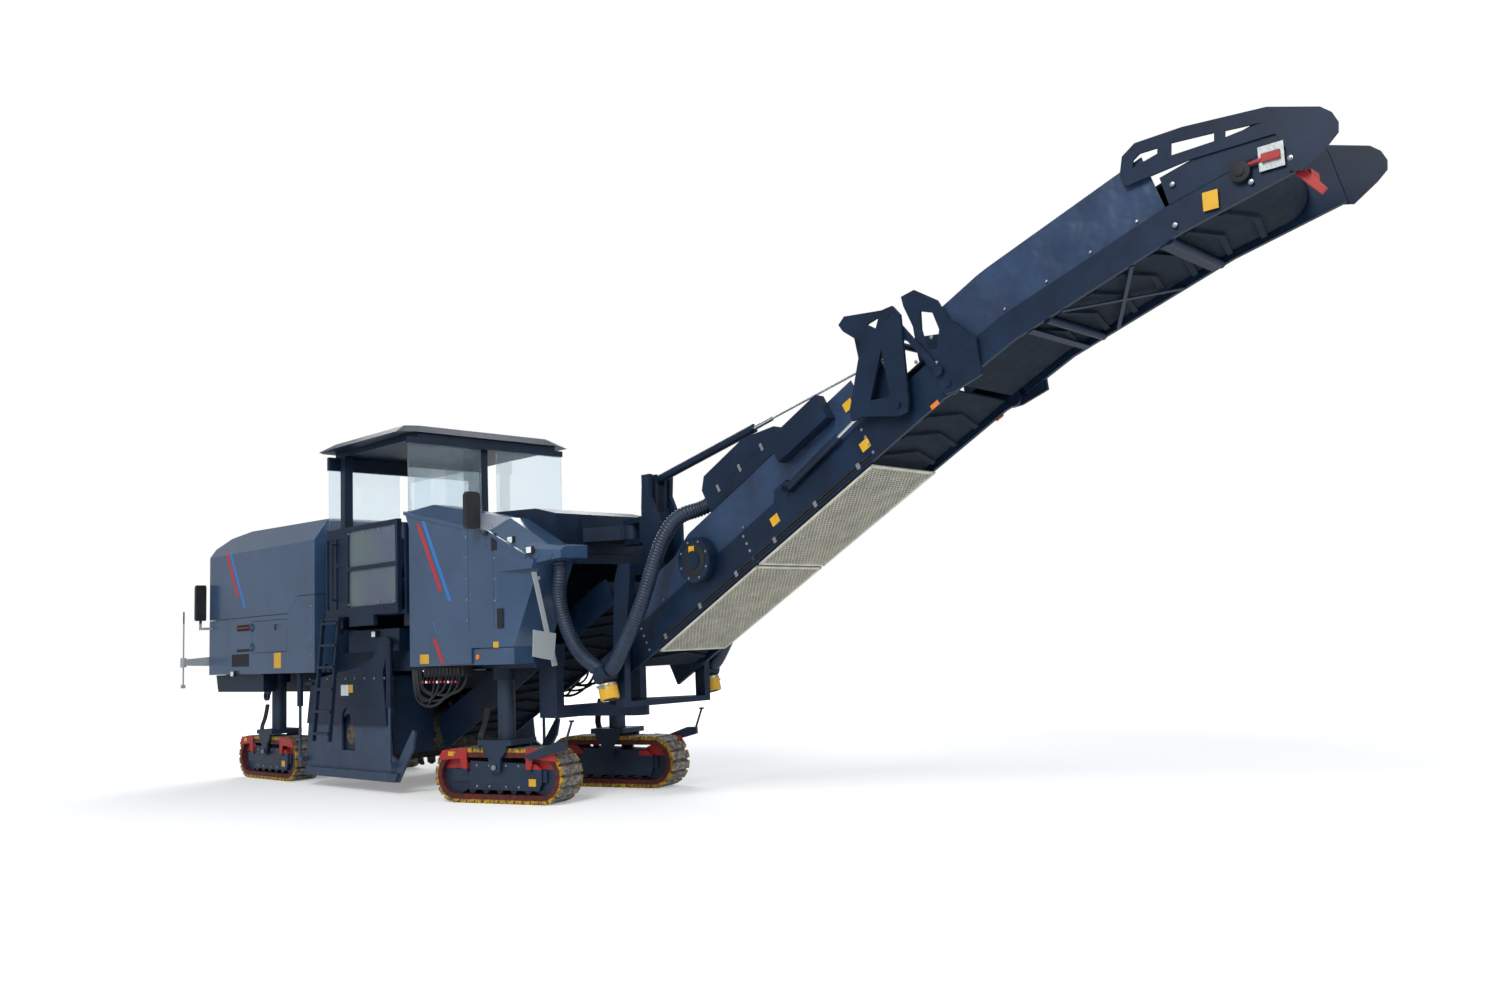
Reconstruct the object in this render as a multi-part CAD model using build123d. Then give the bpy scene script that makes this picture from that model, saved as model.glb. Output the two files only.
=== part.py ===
from build123d import *
import os
from math import atan2, cos, degrees, hypot, pi, radians, sin, sqrt

# Cold planer with a two-section front loading conveyor.
# Millimetres. X runs forward, Y to the left, Z up; X = 0 is the front column axis until the last shift.

# crawler tracks
track_length, track_height, track_width = 1840.0, 610.0, 368.0
track_gauge, rear_track_gap = 1626.0, 534.0
front_steer = 15.0
shoe_count, shoe_height, link_height = 36, 42.0, 58.0
post_radius, post_top, sleeve_radius, running_gap = 100.0, 1950.0, 150.0, 0.5

# main frame and body
beam_inner, beam_outer, beam_bottom, beam_top = 550.0, 950.0, 1500.0, 1750.0
body_half, skin = 1250.0, 40.0
engine_rear = -6350.0
rear_end, engine_front = -7064.0, -3720.0
sill_z, split_z, split_step_z, hood_top_z = 1510.0, 2320.0, 2552.0, 3615.0
seam = 8.0
floor_z, floor_thick = 2250.0, 50.0
platform_rear, platform_front, deck_inset = -3440.0, -1500.0, 60.0
deck_half = body_half - deck_inset
rail_top = 3360.0
cowl_rear, cowl_front, cowl_inner, cowl_base = -1430.0, 1165.0, 720.0, 1550.0

# canopy
roof_z, roof_rear, roof_front, roof_half = 4420.0, -3575.0, -1380.0, 1310.0
canopy_drop = 850.0
post_half = 58.0
pane_thick = 12.0

# milling unit
drum_x, drum_z, drum_radius, drum_end_gap, pick_height = -3120.0, 700.0, 395.0, 50.0, 95.0
housing_front, housing_rear, housing_half, housing_wall = -2060.0, -4060.0, 1050.0, 40.0
housing_top, scraper_depth = 1440.0, 150.0
drum_half = housing_half - housing_wall - drum_end_gap
wheelbase = -housing_rear + scraper_depth + rear_track_gap + track_length / 2
side_plate_travel = 420.0
plate_thick, plate_bottom, plate_top, plate_gap = 30.0, 150.0, 1180.0, 15.0

# loading conveyors
belt_thick, drum_r, seat_gap = 22.0, 190.0, 0.3
primary_half = 430.0
primary_low, primary_high = (-1780.0, 760.0), (1260.0, 2270.0)
slew_x = 1350.0
lift_x, lift_z, boom_angle = 1770.0, 1680.0, 28.5
boom_half, rail_thick, belt_half = 460.0, 40.0, 415.0
rail_low, rail_high, cover_high = -260.0, 100.0, 520.0
fold_u, fold_w = 4780.0, -205.0
fold_clear = 130.0
upper_runs = ((540.0, 26.6), (1541.0, 19.4), (907.0, 14.3))
chevron_pitch, chevron_height = 280.0, 30.0
hoist_base, hoist_end = (1778.0, 3504.0), (5084.0, 4295.0)


def block(x0, x1, y0, y1, z0, z1):
    return Pos((x0 + x1) / 2, (y0 + y1) / 2, (z0 + z1) / 2) * Box(abs(x1 - x0), abs(y1 - y0), abs(z1 - z0))


def prism(points, y0, y1, holes=()):
    # an outline in the XZ plane, extruded from y0 to y1
    rings = [Wire.make_polygon([Vector(x, y0, z) for x, z in ring], close=True) for ring in (points, *holes)]
    return Solid.extrude(Face(rings[0], rings[1:]), Vector(0, y1 - y0, 0))


def slab(points, z0, z1):
    # an outline in the XY plane, extruded from z0 to z1
    ring = Wire.make_polygon([Vector(x, y, z0) for x, y in points], close=True)
    return Solid.extrude(Face(ring), Vector(0, 0, z1 - z0))


def rod(start, end, radius):
    a, b = Vector(*start), Vector(*end)
    return Solid.make_cylinder(radius, (b - a).length, Plane(origin=a, z_dir=(b - a).normalized()))


def cross_rod(x, z, radius, y0, y1):
    return rod((x, y0, z), (x, y1, z), radius)


def both(shape):
    return [shape, shape.mirror(Plane.XZ)]


def fused(first, *others):
    return first.fuse(*others) if others else first


def boom(u, w):
    # a point of the lower boom: u along it from the lift pivot, w square to it
    a = radians(boom_angle)
    return lift_x + u * cos(a) - w * sin(a), lift_z + u * sin(a) + w * cos(a)


def boom_plate(points, y0, y1, holes=()):
    return prism([boom(*p) for p in points], y0, y1, [[boom(*p) for p in ring] for ring in holes])


def boom_box(u0, u1, y0, y1, w0, w1):
    return boom_plate([(u0, w0), (u1, w0), (u1, w1), (u0, w1)], y0, y1)


def offset_line(points, gap):
    # a polyline moved square to itself by gap, with its corners kept sharp
    moved = []
    for i, (x, z) in enumerate(points):
        before = points[max(i - 1, 0)] if i else points[0]
        after = points[min(i + 1, len(points) - 1)]
        here = points[i]
        a = atan2(here[1] - before[1], here[0] - before[0]) if i else atan2(after[1] - z, after[0] - x)
        b = atan2(after[1] - z, after[0] - x) if i < len(points) - 1 else a
        half = (b - a) / 2
        turn = (a + b) / 2
        moved.append((x - sin(turn) * gap / cos(half), z + cos(turn) * gap / cos(half)))
    return moved


def round_outline(cx, cz, radius, steps=12, start=0.0, sweep=360.0):
    count = steps if sweep == 360.0 else steps + 1
    return [
        (cx + radius * cos(radians(start + sweep * i / steps)), cz + radius * sin(radians(start + sweep * i / steps)))
        for i in range(count)
    ]


# crawler track, built at the origin and turned into place
wheel_radius = track_height / 2 - shoe_height - link_height
wheel_x = track_length / 2 - track_height / 2
axle_z = track_height / 2


def track_point(share, radius):
    # a point of the loop at a share of its length, at a radius from the wheel centres
    straight, arc = 2 * wheel_x, pi * (track_height / 2 - shoe_height)
    s = (share % 1.0) * 2 * (straight + arc)
    if s < straight:
        return -wheel_x + s, axle_z - radius
    if s < straight + arc:
        a = -pi / 2 + pi * (s - straight) / arc
        return wheel_x + radius * cos(a), axle_z + radius * sin(a)
    if s < 2 * straight + arc:
        return wheel_x - (s - straight - arc), axle_z + radius
    a = pi / 2 + pi * (s - 2 * straight - arc) / arc
    return -wheel_x + radius * cos(a), axle_z + radius * sin(a)


def make_chain():
    base, tip = track_height / 2 - shoe_height, track_height / 2
    # columns: share of one pitch, radius
    shoe = ((0.0, base), (0.12, tip), (0.80, tip), (0.92, base))
    outer = [track_point((i + 0.5 + share) / shoe_count, r) for i in range(shoe_count) for share, r in shoe]
    inner_r = wheel_radius
    inner = round_outline(wheel_x, axle_z, inner_r, 12, -90.0, 180.0)
    inner += round_outline(-wheel_x, axle_z, inner_r, 12, 90.0, 180.0)
    return prism(outer, -track_width / 2, track_width / 2, [inner])


def make_track_frame(outer_side, arm):
    half = track_width / 2
    leg_in, leg_out = half + 8, half + 42
    rail = [(-wheel_x - 60, 240), (wheel_x + 60, 240), (wheel_x + 60, 370), (-wheel_x - 60, 370)]
    side_frame = [(-420, 150), (580, 150), (620, 240), (620, 380), (540, 440), (-400, 470)]
    parts = [prism(rail, -150, 150), prism(side_frame, -half + 12, half - 12)]
    for x in (-wheel_x, wheel_x):
        # the wheel's flats match the links that lie on it
        parts.append(prism(round_outline(x, axle_z, wheel_radius, 24, -90.0), -120, 120))
    for i in range(5):
        parts.append(prism(round_outline(-400 + 200 * i, axle_z - wheel_radius + 52, 48, 10, -90.0), -140, 140))
    leg = [(-70, 350), (70, 350), (85, 500), (170, 590), (170, 700), (-170, 700), (-170, 590), (-85, 500)]
    for side in (-1, 1):
        parts.append(prism(leg, side * leg_in, side * leg_out))
    parts.append(prism(round_outline(0, 405, 38, 12), -leg_out - 12, leg_out + 12))
    parts.append(block(-240, 240, -leg_out, leg_out, track_height + 35, 705))
    parts.append(rod((0, 0, 700), (0, 0, post_top), post_radius))
    # the guards over both ends, on the outer side
    guard = [(-wheel_x - 255, 470), (-wheel_x - 170, 590), (-wheel_x + 190, 615), (-wheel_x + 190, 385), (-wheel_x + 120, 385), (-wheel_x + 90, 500)]
    y0, y1 = outer_side * (half + 6), outer_side * (half + 18)
    for flip in (1, -1):
        parts.append(prism([(flip * x, z) for x, z in guard], y0, y1))
        parts.append(block(flip * (-wheel_x + 125), flip * (-wheel_x + 185), outer_side * 140, y0 + outer_side, 350, 440))
    if arm:
        # a bar on the front guard with a feeler rod at its tip
        bar = [(430, 540), (520, 490), (1010, 610), (1010, 690), (880, 690)]
        parts.append(prism(bar, y1 - outer_side, y1 + outer_side * 40))
        parts.append(prism([(985, 680), (1005, 680), (1095, 905), (1075, 905)], y1 + outer_side * 10, y1 + outer_side * 30))
        parts.append(block(1060, 1110, y1 + outer_side * 5, y1 + outer_side * 35, 900, 922))
    return fused(parts[0], *parts[1:])


tracks = {}
chain = make_chain()
for where, x, turn in (("front", 0.0, front_steer), ("rear", -wheelbase, 0.0)):
    for side_name, side in (("right", -1), ("left", 1)):
        place = Location((x, side * track_gauge / 2, 0), (0, 0, turn))
        name = f"track_{where}_{side_name}"
        tracks[name + "_frame"] = [make_track_frame(side, where == "front").moved(place)]
        tracks[name + "_chain"] = [chain.moved(place)]

columns = [(x, side * track_gauge / 2) for x in (0.0, -wheelbase) for side in (-1, 1)]


def column_cut(radius, z0, z1):
    return [rod((x, y, z0), (x, y, z1), radius) for x, y in columns]


def make_sleeves():
    bore = post_radius + running_gap
    sleeves = []
    for x, y in columns:
        outer = rod((x, y, beam_bottom - 130), (x, y, post_top + 60), sleeve_radius)
        sleeves.append(outer.cut(rod((x, y, beam_bottom - 130), (x, y, post_top + 20), bore)))
    return sleeves


def make_chassis():
    parts = []
    for side in (-1, 1):
        parts.append(block(rear_end + 150, 760, side * beam_inner, side * beam_outer, beam_bottom, beam_top))
        # outriggers that carry the rear body
        for x in (-6700, -4600):
            parts.append(block(x, x + 180, side * (beam_outer - 10), side * (body_half - skin), 1580, 1720))
    # columns: start and end of each cross member along the machine
    for x0, x1 in ((rear_end + 150, rear_end + 450), (-5050, -4800), (-4300, -4090)):
        parts.append(block(x0, x1, -beam_inner - 20, beam_inner + 20, beam_bottom, beam_top))
    # low cross member under the conveyor's head that carries the lower slew bearing
    for side in (-1, 1):
        parts.append(block(420, 740, side * 560, side * 660, slew_low, beam_bottom + 10))
    parts.append(block(420, 740, -600, 600, slew_low, slew_low + 120))
    nose = [(700, -300), (slew_x, -120), (slew_x, 120), (700, 300)]
    parts.append(slab(nose, slew_low, slew_low + 120))
    parts.append(rod((slew_x, 0, slew_low), (slew_x, 0, slew_low + 120), 120))
    # ballast boxes outside the rear columns, hung from the outriggers
    for side in (-1, 1):
        box = [(rear_end + 90, 1250), (-5450, 1250), (-5450, 1500), (rear_end + 20, 1500)]
        parts.append(prism(box, side * (beam_outer + 20), side * (body_half - 100)))
        parts.append(block(-6700, -6520, side * (beam_outer + 20), side * (body_half - 100), 1490, 1590))
    # counterweight under the rear of the frame
    parts.append(block(-6860, -5000, -540, 540, 1220, beam_bottom + 5))
    # tow eyes below the back of the counterweight, under the line of the ballast boxes
    eye_x, eye_z, eye_y = -6920.0, 1150.0, 420.0
    lug = [(eye_x - 70, eye_z + 10), (eye_x + 25, eye_z - 68), (-6790, 1225), (-6790, 1400), (-6880, 1400)]
    for side in (-1, 1):
        eye = fused(cross_rod(eye_x, eye_z, 75, side * (eye_y - 20), side * (eye_y + 20)), prism(lug, side * (eye_y - 20), side * (eye_y + 20)))
        parts.append(eye.cut(cross_rod(eye_x, eye_z, tow_bore, side * (eye_y - 30), side * (eye_y + 30))))
    body = fused(parts[0], *parts[1:])
    body = body.cut(rod((slew_x, 0, slew_low - 10), (slew_x, 0, slew_low + 130), slew_pin + running_gap))
    body = body.cut(*column_cut(sleeve_radius - 5, beam_bottom - 20, beam_top + 20))
    return [fused(body, *make_sleeves())]


slew_low, slew_high, slew_pin = 930.0, 2880.0, 55.0
tow_bore = 36.0


def make_tank():
    side = [(cowl_rear, 3380), (cowl_rear, 2640), (878, 2640), (878, 3200), (500, 3290)]
    # the upper arm from the tank's front to the slew pin
    arm = slab([(870, -380), (slew_x - 60, -150), (slew_x, -130), (slew_x, 130), (slew_x - 60, 150), (870, 380)], slew_high, slew_high + 160)
    eye = rod((slew_x, 0, slew_high), (slew_x, 0, slew_high + 160), 130)
    foot = block(870, 902, -380, 380, slew_high - 120, slew_high + 260)
    body = fused(prism(side, -cowl_inner, cowl_inner), arm, eye, foot)
    return [body.cut(rod((slew_x, 0, slew_high - 10), (slew_x, 0, slew_high + 170), slew_pin + running_gap))]


panel_step, cowl_taper = 60.0, 110.0
lip_line = ((cowl_rear, 3423.0), (352.0, 3024.0), (1036.0, 2711.0))
lamp_spots = ((1165.0, 2705.0), (1330.0, 2690.0))


def make_cowls():
    # the front hoods: a recessed rear bay, a slanted side panel, a leaning cap and a pod with the lamps
    nose = [(cowl_front, 2640), (738, 1739)]
    bay = [(cowl_rear, cowl_base), *lip_line, *nose, (738, cowl_base)]
    panel = [(cowl_rear + 6, 3422), *lip_line[1:], *nose, (-30, 1739), (-30, 1570), (-571, 1570)]
    body = prism(bay, cowl_inner, body_half - panel_step)
    body = fused(body, prism(panel, body_half - panel_step - 1, body_half), prism([(-15, cowl_base), (738, cowl_base), (738, 1728), (-15, 1728)], body_half - panel_step - 1, body_half - 20))
    # the cap above the lip: columns are place, lip height, rise and where the lean ends
    sections = ((cowl_rear, 3423.0, 20.0, 1150.0), (cowl_rear + 260, 3365.0, 130.0, 1000.0), (352.0, 3024.0, 165.0, 960.0), (1036.0, 2711.0, 130.0, 960.0))
    rings = []
    for x, lip, rise, y in sections:
        rings.append(Wire.make_polygon([Vector(x, body_half, lip - 30), Vector(x, body_half, lip), Vector(x, y, lip + rise), Vector(x, cowl_inner, lip + rise), Vector(x, cowl_inner, lip - 30)], close=True))
    body = fused(body, Solid.make_loft(rings, ruled=True))
    # the front of the side tapers inward from a crease
    cut = slab([(500, body_half), (1300, body_half - cowl_taper), (1300, body_half + 60), (500, body_half + 60)], cowl_base - 10, 2560)
    body = body.cut(cut)
    pod = Solid.make_loft([
        Wire.make_polygon([Vector(cowl_front - 150, y, z) for y, z in ((cowl_inner + 5, 2600), (body_half - 4, 2600), (body_half - 4, 2775), (1150, 2845), (cowl_inner + 5, 2845))], close=True),
        Wire.make_polygon([Vector(1480, y, z) for y, z in ((770, 2650), (1130, 2650), (1130, 2730), (1080, 2770), (770, 2790))], close=True),
    ])
    body = fused(body, pod)
    run, side_in = 1480 - (cowl_front - 150), body_half - 4 - 1130
    outward = Vector(side_in, run, 0).normalized()
    for x, z in lamp_spots:
        y = body_half - 4 - side_in * (x - cowl_front + 150) / run
        foot = Vector(x, y, z) - outward * 40
        body = fused(body, rod(tuple(foot), tuple(foot + outward * 48), 46))
    # lip that runs along the top edge
    for (xa, za), (xb, zb) in zip(lip_line, lip_line[1:]):
        body = fused(body, prism([(xa - 2, za - 42), (xb + 2, zb - 42), (xb + 2, zb + 4), (xa - 2, za + 4)], body_half - 20, body_half + 14))
    body = body.cut(block(cowl_rear - 10, 900, 400, beam_outer + 6, cowl_base - 10, beam_top))
    body = body.cut(rod((0, track_gauge / 2, 1500), (0, track_gauge / 2, post_top + 61), sleeve_radius + 5))
    return both(body)


def make_engine_hood():
    outline = [(rear_end, split_z + seam), (rear_end, 3411), (-6735, 3552), (-6135, hood_top_z), (engine_front, 3572),
               (engine_front, split_step_z), (-4220, split_step_z), (-4490, split_z + seam)]
    inner = [(rear_end + skin, split_z - 50), (rear_end + skin, 3390), (-6722, 3512), (-6125, hood_top_z - skin), (engine_front - skin, 3532),
             (engine_front - skin, split_z - 50)]
    outer = prism(outline, -body_half, body_half)
    for side in (-1, 1):
        lean = [(side * (body_half + 1), 3280), (side * (body_half + 1), 3700), (side * 1010, 3700), (side * 1010, hood_top_z + 5)]
        ring = Wire.make_polygon([Vector(rear_end - 50, y, z) for y, z in lean], close=True)
        outer = outer.cut(Solid.extrude(Face(ring), Vector(3500, 0, 0)))
    cavity = prism(inner, -body_half + skin, body_half - skin)
    for side in (-1, 1):
        lean = [(side * (body_half), 3220), (side * (body_half), 3700), (side * 990, 3700), (side * 990, hood_top_z - skin - 10)]
        ring = Wire.make_polygon([Vector(rear_end - 50, y, z) for y, z in lean], close=True)
        cavity = cavity.cut(Solid.extrude(Face(ring), Vector(3500, 0, 0)))
    leaves = []
    for (tube, _), y in zip(hood_hinges(), (-850.0, 650.0)):
        leaves += [tube, block(rear_end - 12, rear_end + 5, y, y + 200, hood_pin_z + 7, hood_pin_z + 70)]
    return [fused(outer.cut(cavity), *leaves)]


door_x0, door_x1, door_z0, door_z1 = -5600.0, -4520.0, 1810.0, 2250.0


def hinge_barrel(point, along, length, radius, gap=1.0):
    # a hinge on an axis: the leaf's tube, and the fixed pin with a collar at each end
    a, d = Vector(*point), Vector(*along)
    end = a + d * length
    tube = rod(tuple(a), tuple(end), radius).cut(rod(tuple(a - d), tuple(end + d), radius / 2 + running_gap))
    pin = rod(tuple(a - d * (gap + radius)), tuple(end + d * (gap + radius)), radius / 2)
    collars = [rod(tuple(a - d * (gap + radius * 2)), tuple(a - d * gap), radius), rod(tuple(end + d * gap), tuple(end + d * (gap + radius * 2)), radius)]
    return tube, fused(pin, *collars)


hood_pin_z = split_z + seam / 2


def hood_hinges():
    # tube and fixed pin of the two hinges behind the rear edge of the hood
    pairs = []
    for y in (-850.0, 650.0):
        pairs.append(hinge_barrel((rear_end - 14, y, hood_pin_z), (0, 1, 0), 200.0, 13.0))
    return pairs


def make_rear_body():
    outline = [(rear_end, sill_z), (rear_end, split_z), (-4495, split_z), (-4225, split_step_z - seam), (engine_front, split_step_z - seam), (engine_front, sill_z)]
    body = prism(outline, -body_half, body_half)
    room = block(rear_end + skin, engine_front - skin, -body_half + skin, body_half - skin, sill_z - 10, split_step_z + 50)
    body = body.cut(room)
    for side in (-1, 1):
        body = body.cut(block(engine_front - skin - 10, engine_front + 10, side * beam_inner, side * beam_outer, sill_z - 10, beam_top))
        body = body.cut(block(door_x0 - 6, door_x1 + 6, side * (body_half + 10), side * (body_half - skin - 10), door_z0 - 6, door_z1 + 6))
        # notch that passes the side plate when it is up
        body = body.cut(block(engine_front - skin - 10, engine_front + 10, side * housing_half, side * (housing_half + 10 + plate_thick + plate_gap), sill_z - 10, plate_top + side_plate_travel + plate_gap))
        # hinge pins of the service doors, with a lug from the wall to each collar
        for z in door_hinge_z:
            _, pin = hinge_barrel((door_x0 - 4, side * (body_half + 14), z), (0, 0, 1), 60.0, 12.0)
            lugs = [block(door_x0 - 30, door_x0 - 8, side * (body_half - 5), side * (body_half + 20), a, b) for a, b in ((z - 24, z - 2), (z + 62, z + 84))]
            body = fused(body, pin, *lugs)
    for (_, pin), y in zip(hood_hinges(), (-850.0, 650.0)):
        lugs = [block(rear_end - 20, rear_end + 5, a, b, hood_pin_z - 60, hood_pin_z - 4) for a, b in ((y - 26, y - 2), (y + 202, y + 226))]
        body = fused(body, pin, *lugs)
    return [body]


door_hinge_z = (1860.0, 2140.0)


def make_service_door(side):
    panel = block(door_x0, door_x1, side * body_half, side * (body_half - skin), door_z0, door_z1)
    panel = panel.cut(block(-4900, -4660, side * (body_half + 1), side * (body_half - 18), 2110, 2190))
    leaves = []
    for z in door_hinge_z:
        tube, _ = hinge_barrel((door_x0 - 4, side * (body_half + 14), z), (0, 0, 1), 60.0, 12.0)
        leaves.append(tube)
        leaves.append(block(door_x0 + 3, door_x0 + 60, side * (body_half - 5), side * (body_half + 12), z, z + 60))
    return [fused(panel, *leaves)]


def make_platform():
    parts = [block(platform_rear, platform_front, -deck_half, deck_half, floor_z - floor_thick, floor_z)]
    # raised tread plate along the aisle
    parts.append(block(platform_rear + 60, platform_front - 240, -tread_half, tread_half, floor_z - 5, floor_z + tread_thick))
    for x in (platform_front - 210, platform_rear + 70):
        parts.append(block(x, x + 140, -deck_half + 90, deck_half - 90, floor_z - 200, floor_z - floor_thick + 5))
        for side in (-1, 1):
            parts.append(block(x, x + 140, side * 600, side * 900, beam_top, floor_z - 190))
    # hydraulic bay under the floor
    parts.append(block(-3120, -1860, -1080, 1080, beam_top, 2030))
    # front and rear bulkheads
    parts.append(block(platform_front - 40, platform_front, -deck_half, deck_half, floor_z - 5, 3300))
    parts.append(block(platform_rear, platform_rear + 40, -deck_half, deck_half, floor_z - 5, 3300))
    for x, y in canopy_posts:
        outer = block(x - 75, x + 75, y - 75, y + 75, floor_z - 5, 3400)
        parts.append(outer)
    base = fused(parts[0], *parts[1:])
    bore = post_half + running_gap
    return [base.cut(*[block(x - bore, x + bore, y - bore, y + bore, floor_z + 30, 3410) for x, y in canopy_posts])]


tread_half, tread_thick = 420.0, 6.0
canopy_posts = ((platform_front - 130, 0.0), (platform_rear + 130, -1000.0), (platform_rear + 130, 1000.0))


pane_rows = ((2330.0, 2790.0), (2840.0, 3300.0))


def make_railings():
    parts = []
    # right and left side panels: a frame round two windows
    for side in (-1, 1):
        y0, y1 = side * deck_half, side * body_half
        panel = block(-2870, -1600, y0, y1, floor_z - 40, rail_top)
        for z0, z1 in pane_rows:
            panel = panel.cut(block(-2820, -1650, y0 - side * 10, y1 + side * 10, z0, z1))
        # a box under the gate
        panel = fused(panel, block(-2790, -2180, side * (deck_half + 5), y1, floor_z - 170, floor_z - 35))
        parts.append(panel)
        # the closed door beside it, with two shallow recesses and a grab rail
        door = block(-3420, -2900, y0, side * (deck_half + 46), floor_z - 40, rail_top)
        for x0, x1, z0, z1 in ((-3390, -3190, floor_z + 60, 3230), (-3150, -2940, floor_z + 60, 2860), (-3150, -2940, 2910, 3230)):
            door = door.cut(block(x0, x1, side * (deck_half + 34), side * (deck_half + 50), z0, z1))
        rail = [rod((-3165, side * (deck_half + 96), 2420), (-3165, side * (deck_half + 96), 3180), 14)]
        rail += [rod((-3165, side * (deck_half + 30), z), (-3165, side * (deck_half + 98), z), 11) for z in (2440, 3160)]
        parts.append(fused(door, *rail))
    return parts + make_ladders()


def make_windows():
    panes, mid = [], deck_half + 30
    for side in (-1, 1):
        for z0, z1 in pane_rows:
            panes.append(block(-2820, -1650, side * (mid - pane_thick / 2), side * (mid + pane_thick / 2), z0, z1))
    return panes


def make_ladders():
    top, foot = (body_half + 12, 2215.0), (body_half + 150, 640.0)
    x0, width, rail = -3420.0, 456.0, 36.0
    parts = []
    for x in (x0, x0 + width - rail):
        outline = [(top[0], top[1]), (top[0] + 45, top[1]), (foot[0] + 45, foot[1]), (foot[0], foot[1])]
        ring = Wire.make_polygon([Vector(x, y, z) for y, z in outline], close=True)
        parts.append(Solid.extrude(Face(ring), Vector(rail, 0, 0)))
    for i in range(6):
        z = 720 + 280 * i
        y = foot[0] + (top[0] - foot[0]) * (z - foot[1]) / (top[1] - foot[1])
        parts.append(block(x0 + 10, x0 + width - 10, y - 6, y + 60, z, z + 34))
    lug = block(x0, x0 + width, deck_half, body_half + 50, floor_z - 80, floor_z - 40.3)
    return both(fused(parts[0], *parts[1:], lug))


def make_stations():
    parts = []
    for side in (-1, 1):
        y = side * 700
        # console: a pedestal with a sloped desk
        desk = [(-1560, floor_z), (-1560, 3260), (-1740, 3260), (-1960, 3120), (-1960, 3040), (-1800, 2980), (-1760, floor_z)]
        parts.append(prism(desk, y - 250, y + 250))
        # seat with a back
        seat = [block(-2900, -2480, y - 230, y + 230, 2720, 2820), block(-3000, -2900, y - 230, y + 230, 2720, 3350), block(-2780, -2620, y - 80, y + 80, floor_z, 2725)]
        parts.append(fused(seat[0], *seat[1:]))
    return parts


def make_canopy():
    half = roof_half
    low = Wire.make_polygon([Vector(x, y, roof_z) for x, y in ((roof_rear, -half + 120), (roof_rear + 100, -half), (roof_front - 120, -half), (roof_front, -half + 220), (roof_front, half - 220), (roof_front - 120, half), (roof_rear + 100, half), (roof_rear, half - 120))], close=True)
    top = Wire.make_polygon([Vector(x, y, roof_z + 110) for x, y in ((roof_rear + 160, -half + 260), (roof_rear + 220, -half + 180), (roof_front - 240, -half + 180), (roof_front - 160, -half + 340), (roof_front - 160, half - 340), (roof_front - 240, half - 180), (roof_rear + 220, half - 180), (roof_rear + 160, half - 260))], close=True)
    roof = Solid.make_loft([low, top], ruled=True)
    rim = block(roof_rear + 60, roof_front - 60, -half + 260, half - 260, roof_z - 60, roof_z + 5)
    parts = [roof, rim]
    for x, y in canopy_posts:
        parts.append(block(x - post_half, x + post_half, y - post_half, y + post_half, 3300, roof_z - 50))
    # headers that carry the panes
    parts.append(block(front_pane - 30, front_pane + 30, -1180, 1180, roof_z - 130, roof_z - 55))
    parts.append(block(rear_pane - 30, rear_pane + 30, -1180, 1180, roof_z - 230, roof_z - 55))
    return [fused(parts[0], *parts[1:])]


front_pane, rear_pane = -1470.0, -3470.0


def make_panes():
    half = pane_thick / 2
    panes = []
    for y0, y1 in ((-1170, -120), (120, 1170)):
        panes.append(block(front_pane - half, front_pane + half, y0, y1, 3340, roof_z - 130))
        panes.append(block(rear_pane - half, rear_pane + half, y0, y1, 3340, roof_z - 230))
    return panes


def make_housing():
    y = housing_half
    parts = [block(housing_rear, housing_front, -y, y, housing_top - 40, housing_top)]
    for side in (-1, 1):
        wall = [(housing_rear, 480), (housing_rear, housing_top), (housing_front, housing_top), (housing_front, 480), (-2600, 420), (-3700, 420)]
        panel = prism(wall, side * (y - housing_wall), side * y)
        parts.append(panel.cut(cross_rod(drum_x, drum_z, 120 + running_gap, side * (y - 60), side * (y + 10))))
    # the front wall has the conveyor's mouth
    front = [block(housing_front - 40, housing_front, -y, -primary_half - 60, 480, housing_top), block(housing_front - 40, housing_front, primary_half + 60, y, 480, housing_top)]
    parts += front
    parts.append(block(housing_front - 40, housing_front, -y, y, 1230, housing_top))
    parts.append(block(housing_rear, housing_rear + 40, -y, y, 1000, housing_top))
    for side in (-1, 1):
        for x in (-2500, -3750):
            parts.append(block(x, x + 160, side * 600, side * 900, housing_top - 5, beam_bottom))
    body = fused(parts[0], *parts[1:])
    loose = make_side_walls()
    shields, barrels = loose[:2], loose[2:]
    return [fused(body, *shields, *barrels)]


def make_scraper():
    blade = [(housing_rear - 45, 330), (housing_rear, 300), (housing_rear, 1280), (housing_rear - 60, 1280)]
    parts = [prism(blade, -housing_half + 70, housing_half - 70)]
    for y in (-0.67 * housing_half, 0, 0.67 * housing_half):
        rib = [(housing_rear - 56, 500), (housing_rear - scraper_depth, 560), (housing_rear - scraper_depth, 640), (housing_rear - 58, 1100)]
        parts.append(prism(rib, y - 20, y + 20))
    return [fused(parts[0], *parts[1:])]


spacer_x = (-3900.0, -2500.0)


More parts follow.
